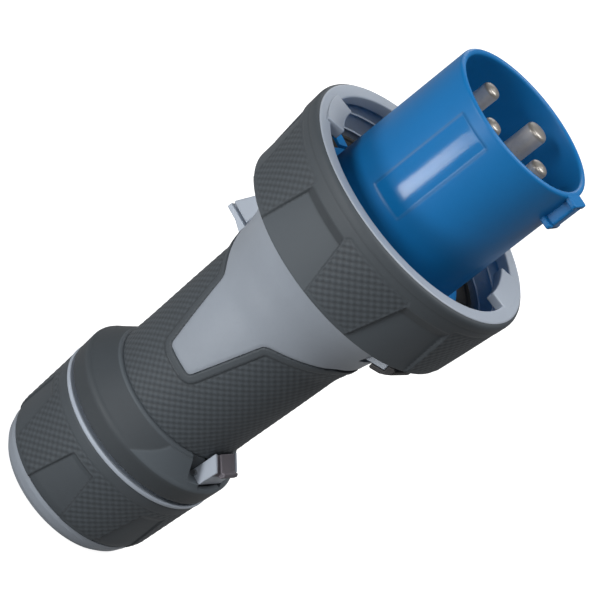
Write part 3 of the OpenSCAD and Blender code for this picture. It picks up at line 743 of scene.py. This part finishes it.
class PLUG_OT_front_shell(Builder):
    """Build the hard front shell with its two tongues, flared neck, upright tab and stop block"""

    bl_idname = "plug.front_shell"
    bl_label = "Front Shell"

    def execute(self, context):
        rows = np.concatenate([np.arange(94.5, 168.2, 0.6), [168.2, 168.35, 170.4, 172.6]])
        a, z = grid(around(384), rows)
        outer = np.array([(r - 0.12, h) for r, h in GRIP_SKIN[:-1]] + NECK)
        mean_r = along(outer, z)
        x = from_tongue(a, mean_r)
        field = lambda x, z: seam_field(x, z) + 0.1
        x1, z1 = pull_to_lines(x, z, field, (-0.3, 0.25), 0.75)
        a1 = a + (x1 - x) / mean_r
        d = field(x1, z1)
        surface = along(outer, z1, 3.0)
        surface = np.where(z1 > 168.25, 45.0, surface) - 0.35 * step_up(d, -0.75, 0)
        r = np.where(d < 0.05, surface, 30.6)
        # Pocket behind the ring latch: a cut that is deep at its rear and slopes up to the ring.
        floor = np.interp(z1, [153.2, 159, 160.6, 163, 168.2], [33, 33, 39, 44.6, 60])
        floor = floor / np.maximum(np.abs(np.sin(a1)), 0.5)
        pocket = (np.abs(r * np.cos(a1)) < 7.4) & (np.sin(a1) < 0) & (z1 > 153.2) & (z1 < 168.3)
        r = np.where(pocket, np.minimum(r, floor), r)
        back = [(44.6, 172.7), (28.3, 172.7), (28, 172.4), (28, 95.3), (28.3, 95), (30.3, 95)]
        # A line of painted shade runs along the seam with the cover.
        shell = skin(a1, r, z1, back, -0.15 * bell(d, 0.05, 0.3))

        def hood(points):
            """Lets the tab's foot run out into the round neck at its sides."""
            x, y, z = points[..., 0], points[..., 1], points[..., 2]
            neck = np.sqrt(np.maximum(along(GRIP_SKIN, z) - 0.3, 9) ** 2 - x**2)
            share = step_up(np.abs(x), 3.0, 7.8) * (1 - step_up(z, 134.1, 136.0))
            points[..., 1] = np.where(y > neck, y + share * (neck - y), y)
            return points

        tab = slab(
            ([(36.0, 131.0), (37.2, 132.9), (38.3, 134.9), (41.2, 136.2), (48.3, 136.2), (48.3, 138.7), (36.0, 138.7),
              (36.0, 153.8), (33, 153.8), (33, 131.0)], [0.3, 1.5, 2.5, 4.0, 0.5, 0.4, 0.2, 0.2, 0.1, 0.1]),
            16, 0.5, shape=hood, middle=9)
        # The tab is painted paler all over: painted light.
        shell = together(shell, painted_paler(tab, 0.9))
        moulded("front_shell", shell, "housing", "shell_plastic", "front_housing", sharp=55)
        block = slab(
            ([(37.3, 139.7), (47.9, 139.7), (48.1, 140.5), (44.1, 150), (41.5, 153.9), (37.3, 153.9)],
             [0.2, 0.5, 0.6, 2.0, 0.8, 0.2]), 15.4, 0.7)
        # The stop block is painted paler all over: painted light.
        moulded("stop_block", painted_paler(block, 0.6), "housing", "shell_plastic", "ring_stop_block", sharp=50)
        return {"FINISHED"}


class PLUG_OT_grip(Builder):
    """Build the soft grip cover with its patterned field and the smooth border round each tongue"""

    bl_idname = "plug.grip"
    bl_label = "Grip Cover"

    def execute(self, context):
        _, shape, _ = settings()
        width, drop = shape.border / MM, shape.field_drop / MM
        mid_r, deep = 34.3, 31.25
        rows = np.concatenate([[70.54, 70.64, 70.8], pattern_rows(71.0, 143.6)])
        a, z = grid(pattern_columns(mid_r), rows)
        mean_r = along(GRIP_SKIN, z)
        x = from_tongue(a, mean_r)
        x1, z1 = pull_to_lines(x, z, seam_field, (0.0, -0.35), 0.6)
        x1, z1 = pull_to_lines(x1, z1, seam_field, (width - 0.15, width + 0.25), 0.55)
        a1 = a + (x1 - x) / mean_r
        d = seam_field(x1, z1)
        patterned = step_up(d, width + 0.2, width + 0.9) * step_up(z1, 70.6, 71.3)
        pyramids = diamonds(a1, z1, mid_r)
        edge = 0.3 * (1 - step_up(d, 0.0, 0.5)) + 0.12 * step_up(d, width - 0.9, width - 0.15)
        r = along(GRIP_SKIN, z1, 1.5) - edge - drop * step_up(d, width - 0.15, width + 0.25)
        r = r + shape.pyramid / MM * pyramids * patterned
        r = np.where(d < -0.1, deep, r)
        # Notch round the foot of the upright tab.
        r = np.where(tab_field((a1 - np.pi / 2) * mean_r, z1) < 0, deep, r)
        # Painted shade in the pattern's valleys, below the border's step and along the seam, and painted highlight on
        # its crests.
        relief = pattern_painted_light(pyramids) * patterned - 0.45 * bell(d - width, 0.35, 0.35) - 0.3 * bell(d, 0.1, 0.25)
        back = [(31, 143.6), (31, 120), (31, 95), (31, 70.56), (31.6, 70.54)]
        moulded("grip_skin", skin(a1, r, z1, back, relief), "housing", "cover_rubber", "grip_cover")
        return {"FINISHED"}


class PLUG_OT_belt(Builder):
    """Build the soft rear belt with its long chamfer, its facet, and the window and notch of the rear latch"""

    bl_idname = "plug.belt"
    bl_label = "Rear Belt"

    def execute(self, context):
        line = np.array([
            (39.9, 49.5), (40.7, 49.6), (41.1, 49.9), (41.2, 50.5), (41.75, 57.6), (41.75, 58.3), (41.6, 58.9),
            (41.2, 59.6), (40.5, 60.4), (34.5, 69.0), (34.15, 69.35), (34.0, 69.8), (33.65, 70.2), (33.1, 70.45),
            (32.5, 70.52)])
        mid_r, notch_rear, window_rear = 38, 60.3, 61.8
        z0 = [rear + side for rear in (notch_rear, window_rear) for side in (-0.02, 0.02)]
        z0 = np.unique(np.concatenate([np.arange(50.0, 69.4, 0.45), line[:, 1], z0]))
        r0 = np.interp(z0, line[:, 1], line[:, 0])
        # Columns lie on planes across X near the window, and turn evenly elsewhere.
        marks = np.array([8.4, 8.46, 15.1, 15.16])
        marks = np.concatenate([-marks, marks])
        even = mid_r * np.sin(np.linspace(-0.52, 0.52, 61))
        even = even[np.abs(even[:, None] - marks).min(1) > 0.25]
        near = np.sort(np.arcsin(np.concatenate([even, marks]) / mid_r))
        t = np.concatenate([near, np.linspace(0.54, 2 * np.pi - 0.54, 300)])[:, None]
        away = np.where(t > np.pi, t - 2 * np.pi, t)
        flat = 1 - step_up(np.abs(away), 0.5, 1.0)
        across = mid_r * np.sin(away)
        a = 1.5 * np.pi + (1 - flat) * away + flat * np.arcsin(np.clip(across / r0, -0.99, 0.99))
        z = z0 + 0 * a
        limit = np.interp(z, [57.5, 58.8, 69, 70.2], [63.8, 63.8, 43.9, 43.9])
        facet = 1 - step_up(np.degrees(np.abs(away)) - limit, -0.6, 0.6)
        facet = facet * step_up(z, 58.2, 59.2) * (1 - step_up(z, 68.8, 69.4))
        r = r0 + 0.25 * facet
        window = (np.abs(across) < 15.13) & (np.abs(away) < 1)
        notch = (np.abs(across) < 8.43) & window
        r = np.where(window & (z > window_rear), 33.1, r)
        # In the notch the rows go down the arc that the latch sweeps, and then forward along its floor.
        past = np.cumsum(z0 > notch_rear)
        share = np.clip((past - 1) / 8, 0, 1)
        swing = np.radians(208 + 57 * share)
        ahead = np.clip((past - 9) / max(past[-1] - 9, 1), 0, 1)
        in_notch = notch & (z0 > notch_rear)
        r = np.where(in_notch, np.where(share < 1, np.maximum(33.5 - 6.1 * np.cos(swing), 31.2), 31.2), r)
        z = np.where(in_notch, np.where(share < 1, 63 + 6.1 * np.sin(swing), 57.2 + ahead * 13.0), z)
        # Painted light: the facet and the bead at the front are painted paler, the rear band is painted darker, and the
        # floors of the window and the notch are painted dark as shade.
        relief = facet + 0.8 * step_up(z, 69.0, 69.5) - 0.3 * (1 - step_up(z, 56.5, 58.5))
        relief = relief - 1.0 * (window & (z0 > window_rear)) - 0.9 * in_notch
        plain, open_back, notch_back = (
            [(32.3, 70.5), (31.2, 70.3), (31.2, 69.6), (32.4, 69.4), (38.9, 60.0), (39.6, 58.9), (39.6, 49.5)],
            [(32.6, 70.4), (31.2, 70.0), (31.2, 69.6), (32.4, 69.4), (32.4, 61.0), (39.6, 58.9), (39.6, 49.5)],
            [(31.1, 70.2), (31.05, 70.0), (31.05, 69.6), (31.05, 69.4), (31.05, 57.0), (39.6, 56.5), (39.6, 49.5)])
        back = np.where(notch[..., None], notch_back, np.where(window[..., None], open_back, plain))
        moulded("belt_skin", skin(a, r, z, back, relief), "housing", "belt_rubber", "rear_belt", sharp=40)
        return {"FINISHED"}


class PLUG_OT_gland_nut(Builder):
    """Build the gland nut and its soft cover with six smooth finger recesses"""

    bl_idname = "plug.gland_nut"
    bl_label = "Gland Nut"

    def execute(self, context):
        _, shape, _ = settings()
        outline = filleted(
            [(20, 2.2), (21.6, 0.15), (23.6, 0.0), (24.2, 0.7), (26.2, 0.7), (26.8, 0.0), (31.0, 0.0), (33.3, 0.75),
             (35.7, 3.7), (37.05, 7.4), (37.1, 9.3), (36, 9.6), (38.5, 45.3), (40.9, 45.6), (41.2, 46.1), (41.2, 47.1),
             (40.8, 47.5), (35.4, 47.5), (34.6, 46.7), (34.6, 8), (20, 8)],
            [0.8, 0.6, 0.3, 0.2, 0.2, 0.3, 1.2, 2.0, 3.0, 1.0, 0.1, 0.2, 0.2, 0.2, 0.3, 0.3, 0.3, 0.3, 0.3, 0.3,
             0.6], 4)
        points, faces = turned(outline, 256)
        # The front rim is painted paler: painted highlight.
        nut = (points, faces, 0.5 * step_up(points[:, 2], 44, 45))
        moulded("nut_shell", nut, "gland_nut", "shell_plastic", "gland_nut", sharp=45)

        mid_r, front = 39.6, 36.5
        rows = np.concatenate([[9.05, 9.3, 9.7], pattern_rows(10.1, 45.4), [45.45, 45.55]])
        a, z = grid(pattern_columns(mid_r), rows)
        outer = [(36.6, 9.05), (37.1, 9.2), (38.2, 10.4), (39.2, 13.4), (40.9, 45.2), (40.6, 45.55)]
        panel, a1, z1 = finger_panel(a, z, mid_r, 17, 24.7, 12.4, 5, front)
        floor = np.interp(z1, [9, 13.4, 34, front], [0.5, 0.7, 0.75, 0.0])
        pyramids = diamonds(a1, z1, mid_r)
        beside = 1 - step_up(panel, -0.7, -0.1)
        field = beside * step_up(z1, 11.2, 12.0) * (1 - step_up(z1, 39.6, 40.4))
        edge = 0.3 * beside * step_up(z1, 10.5, 11.2) * (1 - step_up(z1, 40.2, 40.7))
        r = along(outer, z1, 0.5) - np.maximum(floor * step_up(panel, -0.2, 0.2), edge)
        r = r + shape.pyramid / MM * pyramids * field
        # Painted shade in the pattern's valleys and along the recesses' edges, painted highlight on its crests.
        relief = pattern_painted_light(pyramids) * field - 0.7 * bell(panel, 0.2, 0.4) * (z1 < front)
        cover = skin(a1, r, z1, [(38.5, 45.55), (36.2, 9.2)], relief)
        moulded("nut_skin", cover, "gland_nut", "cover_rubber", "gland_nut_cover")
        return {"FINISHED"}


def finger_panel(a, z, radius, first, rear_w, front_w, rear_z, front_z):
    """Field of the six finger recesses, each a trapezoid in unrolled (arc, height): the distance inwards from its
    slanting sides, or from its front edge. Returns it with the grid after it is pulled to the edges."""
    x = ((a - math.radians(first - 30)) % (np.pi / 3) - np.pi / 6) * radius
    slope = (rear_w - front_w) / 2 / (front_z - rear_z)

    def inside(x, z):
        half = rear_w / 2 - slope * (z - rear_z)
        return np.minimum((half - np.abs(x)) / math.hypot(1, slope), front_z - z)

    x1, z1 = pull_to_lines(x, z, inside, (0.2, -0.2), 0.5)
    return inside(x1, z1), a + (x1 - x) / radius, z1


class PLUG_OT_locking_ring(Builder):
    """Build the locking ring with its inner ribs and ramped lugs, and its soft cover"""

    bl_idname = "plug.locking_ring"
    bl_label = "Locking Ring"

    def execute(self, context):
        _, shape, _ = settings()
        outline = filleted(
            [(45.08, 168.5), (52.6, 168.5), (54.4, 170.2), (56.6, 205.6), (56.6, 207.6), (57.55, 207.6), (57.5, 207.8),
             (57.0, 208.08), (51.5, 208.08), (51.5, 203.0), (52.6, 201.9), (52.6, 197.9), (52.15, 197.6),
             (52.15, 197.2), (52.6, 196.9), (52.6, 190.0), (52.15, 189.7), (52.15, 189.3), (52.6, 189.0),
             (52.6, 172.3), (45.08, 172.3)],
            [0.3, 1.2, 0.8, 0.3, 0.05, 0.05, 0.05, 0.4, 0.8, 0.6, 0.6, 0.2, 0.15, 0.15, 0.2, 0.2, 0.15, 0.15, 0.2, 1.5,
             0.3], 4)
        points, faces, _ = together(turned(outline, 540), *(lug(shape.lug_middle + k * np.pi) for k in (0, 1)))
        # Painted light: the front rim is painted paler, and the inner wall is painted paler to lift the shade it lies
        # in.
        inner_wall = (np.hypot(points[:, 0], points[:, 1]) < 52.8) & (points[:, 2] < 203.5)
        body = (points, faces, 0.3 * step_up(points[:, 2], 205, 207) + 0.6 * inner_wall)
        moulded("ring_shell", body, "locking_ring", "shell_plastic", "locking_ring", sharp=50)

        mid_r, front, groove = 57.6, 197.5, 203.0
        rows = np.concatenate([[168.85, 169.0, 169.3, 169.8], pattern_rows(170.2, 205.0),
                               [205.3, 205.7, 206.1, 206.5, 206.8, 207.1, 207.35, 207.5, 207.55]])
        a, z = grid(pattern_columns(mid_r), rows)
        outer = [(54.2, 168.8), (55.2, 169.1), (56.0, 169.9), (56.5, 171.6), (59.05, 204.4), (59.05, 205.2),
                 (58.95, 206.0), (58.6, 206.8), (58.05, 207.35), (57.5, 207.55)]
        panel, a1, z1 = finger_panel(a, z, mid_r, 0, 45.4, 24.2, 150, front)
        r = along(outer, z1, 0.12)
        depth = r - np.interp(z1, [168.8, 169, 193.2, front], [53.4, 54.9, 56.5, 58.45])
        sunk = np.where(z1 > front, 0.0, np.maximum(depth, 0.0)) * step_up(panel, -0.2, 0.2)
        pyramids = diamonds(a1, z1, mid_r)
        # The pattern ends further forward between the recesses.
        from_front = np.abs((a + np.pi / 6) % (np.pi / 3) - np.pi / 6) * mid_r
        last = 196.6 + 2.6 * step_up(from_front, 11.8, 13.8)
        beside = 1 - step_up(panel, -0.9, -0.3)
        field = beside * step_up(z1, 171.0, 172.0) * (1 - step_up(z1, last - 1.0, last))
        edge = 0.35 * beside * step_up(z1, 170.4, 171.0) * (1 - step_up(z1, last, last + 1.0))
        line = bell(z1, groove, 0.35)
        r = r - np.maximum(sunk, edge) + shape.pyramid / MM * pyramids * field - 0.12 * line
        bevel = step_up(panel, 0, 0.4) * step_up(z1, 193.0, 193.5) * (1 - step_up(z1, 197.0, 197.6))
        # Painted shade in the pattern's valleys, along the recesses' edges, on their front slopes and along the groove,
        # and painted highlight on the crests and on the recesses' rear floors.
        relief = pattern_painted_light(pyramids) * field - 0.35 * bell(panel, 0.2, 0.4) * (z1 < 197) - 0.4 * bevel
        relief += 0.25 * step_up(panel, 0.4, 1.0) * (1 - step_up(z1, 192.0, 193.2)) - 0.25 * line
        cover = skin(a1, r, z1, [(56.95, 207.5), (56.65, 205.6), (54.45, 170.2), (53.4, 168.85)], relief)
        moulded("ring_skin", cover, "locking_ring", "cover_rubber", "locking_ring_cover")
        return {"FINISHED"}


def swept(outline, start, end, rise, steps, edge):
    """Points and faces of a [radius, height] outline carried round the axis from one angle to another, rising by
    rise at its front on the way, with round ends: there the outline shrinks towards its middle by edge."""
    p = np.asarray(outline, float)
    centre = p.mean(0)
    half = np.abs(p - centre).max(0)
    t = np.linspace(0, np.pi / 2, 4)
    reach = edge / centre[0]
    a = np.concatenate([start + reach * (1 - np.cos(t)), np.linspace(start + reach, end - reach, steps)[1:-1],
                        end - reach * (1 - np.cos(t[::-1]))])
    shrink = np.concatenate([1 - np.sin(t), np.zeros(steps - 2), 1 - np.sin(t[::-1])]) * edge
    rz = centre + (p - centre)[None] * (1 - shrink[:, None] / half)[:, None, :]
    share = (a - start) / (end - start)
    top = (p[:, 1] - p[:, 1].min()) / max(np.ptp(p[:, 1]), 1e-9)
    rz[..., 1] += rise * share[:, None] * top[None]
    return capped(turned_points(a[:, None], rz[..., 0], rz[..., 1]))


def lug(middle):
    """One bayonet lug: a block under the rim whose front rises along it as a ramp."""
    outline = filleted([(45.0, 204.2), (54.0, 204.2), (54.0, 208.05), (45.0, 208.05)], [0.6, 0.2, 0.2, 0.7], 4)
    half = math.radians(14)
    return swept(outline, middle - half, middle + half, 1.2, 24, 0.5)


class PLUG_OT_latches(Builder):
    """Build the two latches with their soft pads"""

    bl_idname = "plug.latches"
    bl_label = "Latches"

    def execute(self, context):
        grip = 33.75

        def round_grip(points):
            """Keeps the underside outside the round grip."""
            limit = -np.sqrt(np.maximum(grip**2 - points[..., 0] ** 2, 0))
            points[..., 1] = np.where(points[..., 2] > 69.6, np.minimum(points[..., 1], limit), points[..., 1])
            return points

        side = ([(-38.7, 61.0), (-34.6, 60.9), (-31.9, 62.2), (-31.8, 76.0), (-39.5, 71.7)], [0.8, 0.8, 1.0, 0.3, 0.5])
        core = ([(-38.7, 61.0), (-34.6, 60.9), (-31.9, 62.2), (-31.8, 74.1), (-38.1, 70.65), (-38.1, 68.4),
                 (-39.26, 68.4)], [0.8, 0.8, 1.0, 0.2, 0.2, 0.2, 0.3])
        cheeks = [slab(side, 1.2, 0.35, at=x, shape=round_grip) for x in (-7.4, 7.4)]
        # The rear latch is painted paler all over: painted light.
        latch = painted_paler(together(slab(core, 13.7, 0.05, shape=round_grip), *cheeks), 0.5)
        moulded("rear_latch", latch, "housing_latch", "shell_plastic", "housing_latch", sharp=50)
        wide = ([(-31.4, 74.4), (-38.1, 70.65), (-38.1, 68.4), (-39.2, 68.4), (-39.4, 70.75), (-31.4, 75.25)],
                [0.2, 0.1, 0.1, 0.3, 0.3, 0.2])
        block = ([(-32.2, 74.9), (-39.2, 70.9), (-39.3, 69.8), (-40.5, 69.6), (-41.7, 70.6), (-42.1, 72.2),
                  (-41.3, 73.3), (-39.8, 72.5), (-33.3, 76.2), (-32.5, 75.9)],
                 [0.1, 0.2, 0.2, 0.3, 0.4, 0.4, 0.4, 0.3, 0.3, 0.3])
        pad = together(slab(wide, 13.6, 0.2, shape=round_grip), slab(block, 10, 0.4, shape=round_grip))
        moulded("rear_latch_pad", pad, "housing_latch", "pad_rubber", "housing_latch_pad", sharp=50)

        plate = ([(-35.2, 153.8), (-35.6, 158.2), (-38.4, 158.7), (-47.0, 163.0), (-47.4, 160.0), (-38.5, 155.2)],
                 [0.8, 1.2, 1.0, 0.5, 0.5, 1.0])
        nose = ([(-45.4, 161.0), (-47.1, 168.0), (-48.8, 168.0), (-46.9, 163.2), (-46.6, 161.4)],
                [0.2, 0.3, 0.3, 0.3, 0.2])
        latch = together(slab(plate, 14, 0.5), slab(nose, 10, 0.4))
        moulded("front_latch", latch, "ring_latch", "shell_plastic", "ring_latch", sharp=50)
        cap = ([(-41.9, 157.0), (-42.2, 155), (-43.2, 155), (-47.2, 157.3), (-49.2, 159.3), (-51, 161.6),
                (-51.2, 164.2), (-49.6, 164.4), (-47.9, 163.2), (-47, 163), (-47.4, 160)],
               [0.1, 0.4, 0.5, 1.0, 1.0, 1.0, 0.7, 0.6, 0.4, 0.1, 0.1])
        moulded("front_latch_pad", slab(cap, 14, 0.6), "ring_latch", "front_pad_rubber", "ring_latch_pad", sharp=50)
        return {"FINISHED"}


class PLUG_OT_inner_parts(Builder):
    """Build the lipped flange seal and finish the solids that show through the openings"""

    bl_idname = "plug.inner_parts"
    bl_label = "Seals and Inner Parts"

    def execute(self, context):
        outline = filleted(
            [(41.05, 184.05), (49.3, 184.05), (49.35, 188.2), (48.8, 188.8), (47.8, 188.2), (47.4, 187.4),
             (41.05, 187.4)], [0.2, 0.2, 0.4, 0.3, 0.4, 0.5, 0.3], 4)
        # The seal parts round the two blocks of the flange.
        halves = [swept(outline, math.radians(turn + 4.0), math.radians(turn + 176.0), 0.0, 90, 0.3)
                  for turn in BLOCK_TURNS]
        moulded("lipped_seal", together(*halves), "housing", "seal_rubber", "flange_seal", sharp=60)
        steel = metal_material("zinc_steel", (0.66, 0.67, 0.68), 0.4, marks=3000)
        seal = moulded_material("seal_rubber")
        finishes = {
            "rear_housing": moulded_material("shell_plastic"), "contact_carrier": moulded_material("carrier_plastic"),
            "clamp_cage": finish_material("cage_plastic", (0.12, 0.12, 0.13), 0.55, drift=0.06, rub=0.2),
            "carrier_screws": steel, "terminal_screws": steel, "slip_washer": steel, "housing_latch_pin": steel,
            "ring_latch_pin": steel, "housing_seal": seal, "cable_seal": seal,
        }
        for name, material in finishes.items():
            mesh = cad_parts[name].data
            mesh.materials.clear()
            mesh.materials.append(material)
        return {"FINISHED"}


# ---------------------------------------------------------------- the stage

UP = Vector((0, 0, 1))
PLUG_MIDDLE = 0.1395
LIGHT_AIM = 0.15
# The lights by name: place, height they face and size, all in metres, as softbox has them.
LIGHTS = {
    "strip": ((-0.18, -0.375, 0.057), 0.23, (0.125, 0.088)),
    "key": ((-0.79, -0.94, 0.37), LIGHT_AIM, (0.5, 0.35)),
    "top": ((0.0, -0.63, 1.23), LIGHT_AIM, (0.6, 0.6)),
    "far": ((0.28, 0.32, 1.32), LIGHT_AIM, (0.6, 0.6)),
    "back": ((-0.45, 1.0, 0.5), LIGHT_AIM, (0.6, 0.6)),
}


def view_axes(studio):
    """The camera's right, up and forward directions. The plug's axis lies in the picture at the roll angle, and
    the camera looks down on it by the tilt and round it by the turn."""
    c, s = math.cos, math.sin
    side = Vector((s(studio.turn), -c(studio.turn), 0))
    level = Vector((c(studio.turn), s(studio.turn), 0))
    axis = c(studio.tilt) * UP + s(studio.tilt) * level
    forward = -s(studio.tilt) * UP + c(studio.tilt) * level
    right = c(studio.roll) * axis + s(studio.roll) * side
    up = s(studio.roll) * axis - c(studio.roll) * side
    return right, up, forward


def softbox(name, studio, place, aim, size):
    """Rectangular area light. place is in metres: to the right of the plug as the camera's turn has it, away from
    the camera on the level, and up. It faces the plug's axis at the height aim."""
    c, s = math.cos(studio.turn), math.sin(studio.turn)
    place = Vector((s * place[0] + c * place[1], -c * place[0] + s * place[1], place[2]))
    data = bpy.data.lights.new(name, "AREA")
    data.shape = "RECTANGLE"
    data.size, data.size_y = size
    data.energy = getattr(studio, name)
    light = bpy.data.objects.new(name, data)
    light.visible_camera = False
    bpy.context.scene.collection.objects.link(light)
    towards = (place - aim * UP).normalized()
    light.matrix_world = Matrix.Translation(place) @ towards.to_track_quat("Z", "Y").to_matrix().to_4x4()


def background_share(tree, mirrored):
    """1 for rays from the camera and through glass, the given share for reflections, and 0 for the rest."""
    rays = node(tree, "ShaderNodeLightPath").outputs
    seen = maths(tree, "MAXIMUM", rays["Is Camera Ray"], maths(tree, "MULTIPLY", rays["Is Glossy Ray"], mirrored))
    return maths(tree, "MAXIMUM", seen, rays["Is Transmission Ray"])


class PLUG_OT_stage(Builder):
    """Build the pale floor, the soft lights and the camera"""

    bl_idname = "plug.stage"
    bl_label = "Studio"

    def execute(self, context):
        _, _, studio = settings()
        scene = context.scene
        right, up, forward = view_axes(studio)
        data = bpy.data.cameras.new("camera")
        data.lens = studio.lens
        data.sensor_width = 36.0
        data.sensor_fit = "AUTO"
        data.clip_end = 60
        camera = bpy.data.objects.new("camera", data)
        scene.collection.objects.link(camera)
        place = PLUG_MIDDLE * UP - forward * studio.distance
        camera.matrix_world = Matrix.Translation(place) @ Matrix((right, up, -forward)).transposed().to_4x4()
        scene.camera = camera

        side = np.linspace(-9000, 9000, 5)
        x, y = np.meshgrid(side, side, indexing="ij")
        floor = put_mesh("floor", np.stack([x, y, 0 * x], -1), [grid_faces(len(side), len(side))])
        white = (1, 1, 1, 1)
        material, tree, shader = new_material("studio_floor")
        for label, value in (("Roughness", 0.9), ("Specular IOR Level", 0.1), ("Base Color", (0.4, 0.4, 0.4, 1))):
            shader.inputs[label].default_value = value
        strength = maths(tree, "MULTIPLY", background_share(tree, studio.mirrored), 0.95)
        glow = node(tree, "ShaderNodeEmission", {"Color": white, "Strength": strength})
        both = node(tree, "ShaderNodeAddShader", {0: shader.outputs[0], 1: glow.outputs[0]})
        tree.links.new(both.outputs[0], tree.nodes["Material Output"].inputs["Surface"])
        floor.data.materials.append(material)

        world = scene.world = bpy.data.worlds.new("studio_room")
        world.use_nodes = True
        tree = world.node_tree
        room = tree.nodes["Background"]
        room.inputs["Color"].default_value = white
        room.inputs["Strength"].default_value = studio.ambient
        backdrop = node(tree, "ShaderNodeBackground", {"Color": white, "Strength": 1.0})
        shaders = {0: background_share(tree, studio.mirrored), 1: room.outputs[0], 2: backdrop.outputs[0]}
        mixed = node(tree, "ShaderNodeMixShader", shaders)
        tree.links.new(mixed.outputs[0], tree.nodes["World Output"].inputs["Surface"])

        for name, values in LIGHTS.items():
            softbox(name, studio, *values)
        scene.view_settings.view_transform = "Standard"
        return {"FINISHED"}


STEPS = (PLUG_OT_sleeve, PLUG_OT_contacts, PLUG_OT_front_shell, PLUG_OT_grip, PLUG_OT_belt, PLUG_OT_gland_nut,
         PLUG_OT_locking_ring, PLUG_OT_latches, PLUG_OT_inner_parts, PLUG_OT_stage)


class PLUG_PT_panel(bpy.types.Panel):
    """Sidebar panel with the settings and the steps"""

    bl_label = "Pin and Sleeve Plug"
    bl_idname = "PLUG_PT_panel"
    bl_space_type = "VIEW_3D"
    bl_region_type = "UI"
    bl_category = "Plug"

    def draw(self, context):
        layout = self.layout
        for group in settings():
            box = layout.box()
            for name in group.__annotations__:
                box.prop(group, name)
        for step in STEPS:
            layout.operator(step.bl_idname)


CLASSES = (PlugColours, PlugShape, PlugStudio) + STEPS + (PLUG_PT_panel,)


def register():
    for cls in CLASSES:
        bpy.utils.register_class(cls)
    bpy.types.Scene.plug_colours = PointerProperty(type=PlugColours)
    bpy.types.Scene.plug_shape = PointerProperty(type=PlugShape)
    bpy.types.Scene.plug_studio = PointerProperty(type=PlugStudio)


def unregister():
    del bpy.types.Scene.plug_studio, bpy.types.Scene.plug_shape, bpy.types.Scene.plug_colours
    for cls in reversed(CLASSES):
        bpy.utils.unregister_class(cls)


def main():
    register()
    for step in STEPS:
        group, name = step.bl_idname.split(".")
        getattr(getattr(bpy.ops, group), name)()


if __name__ == "__main__":
    main()
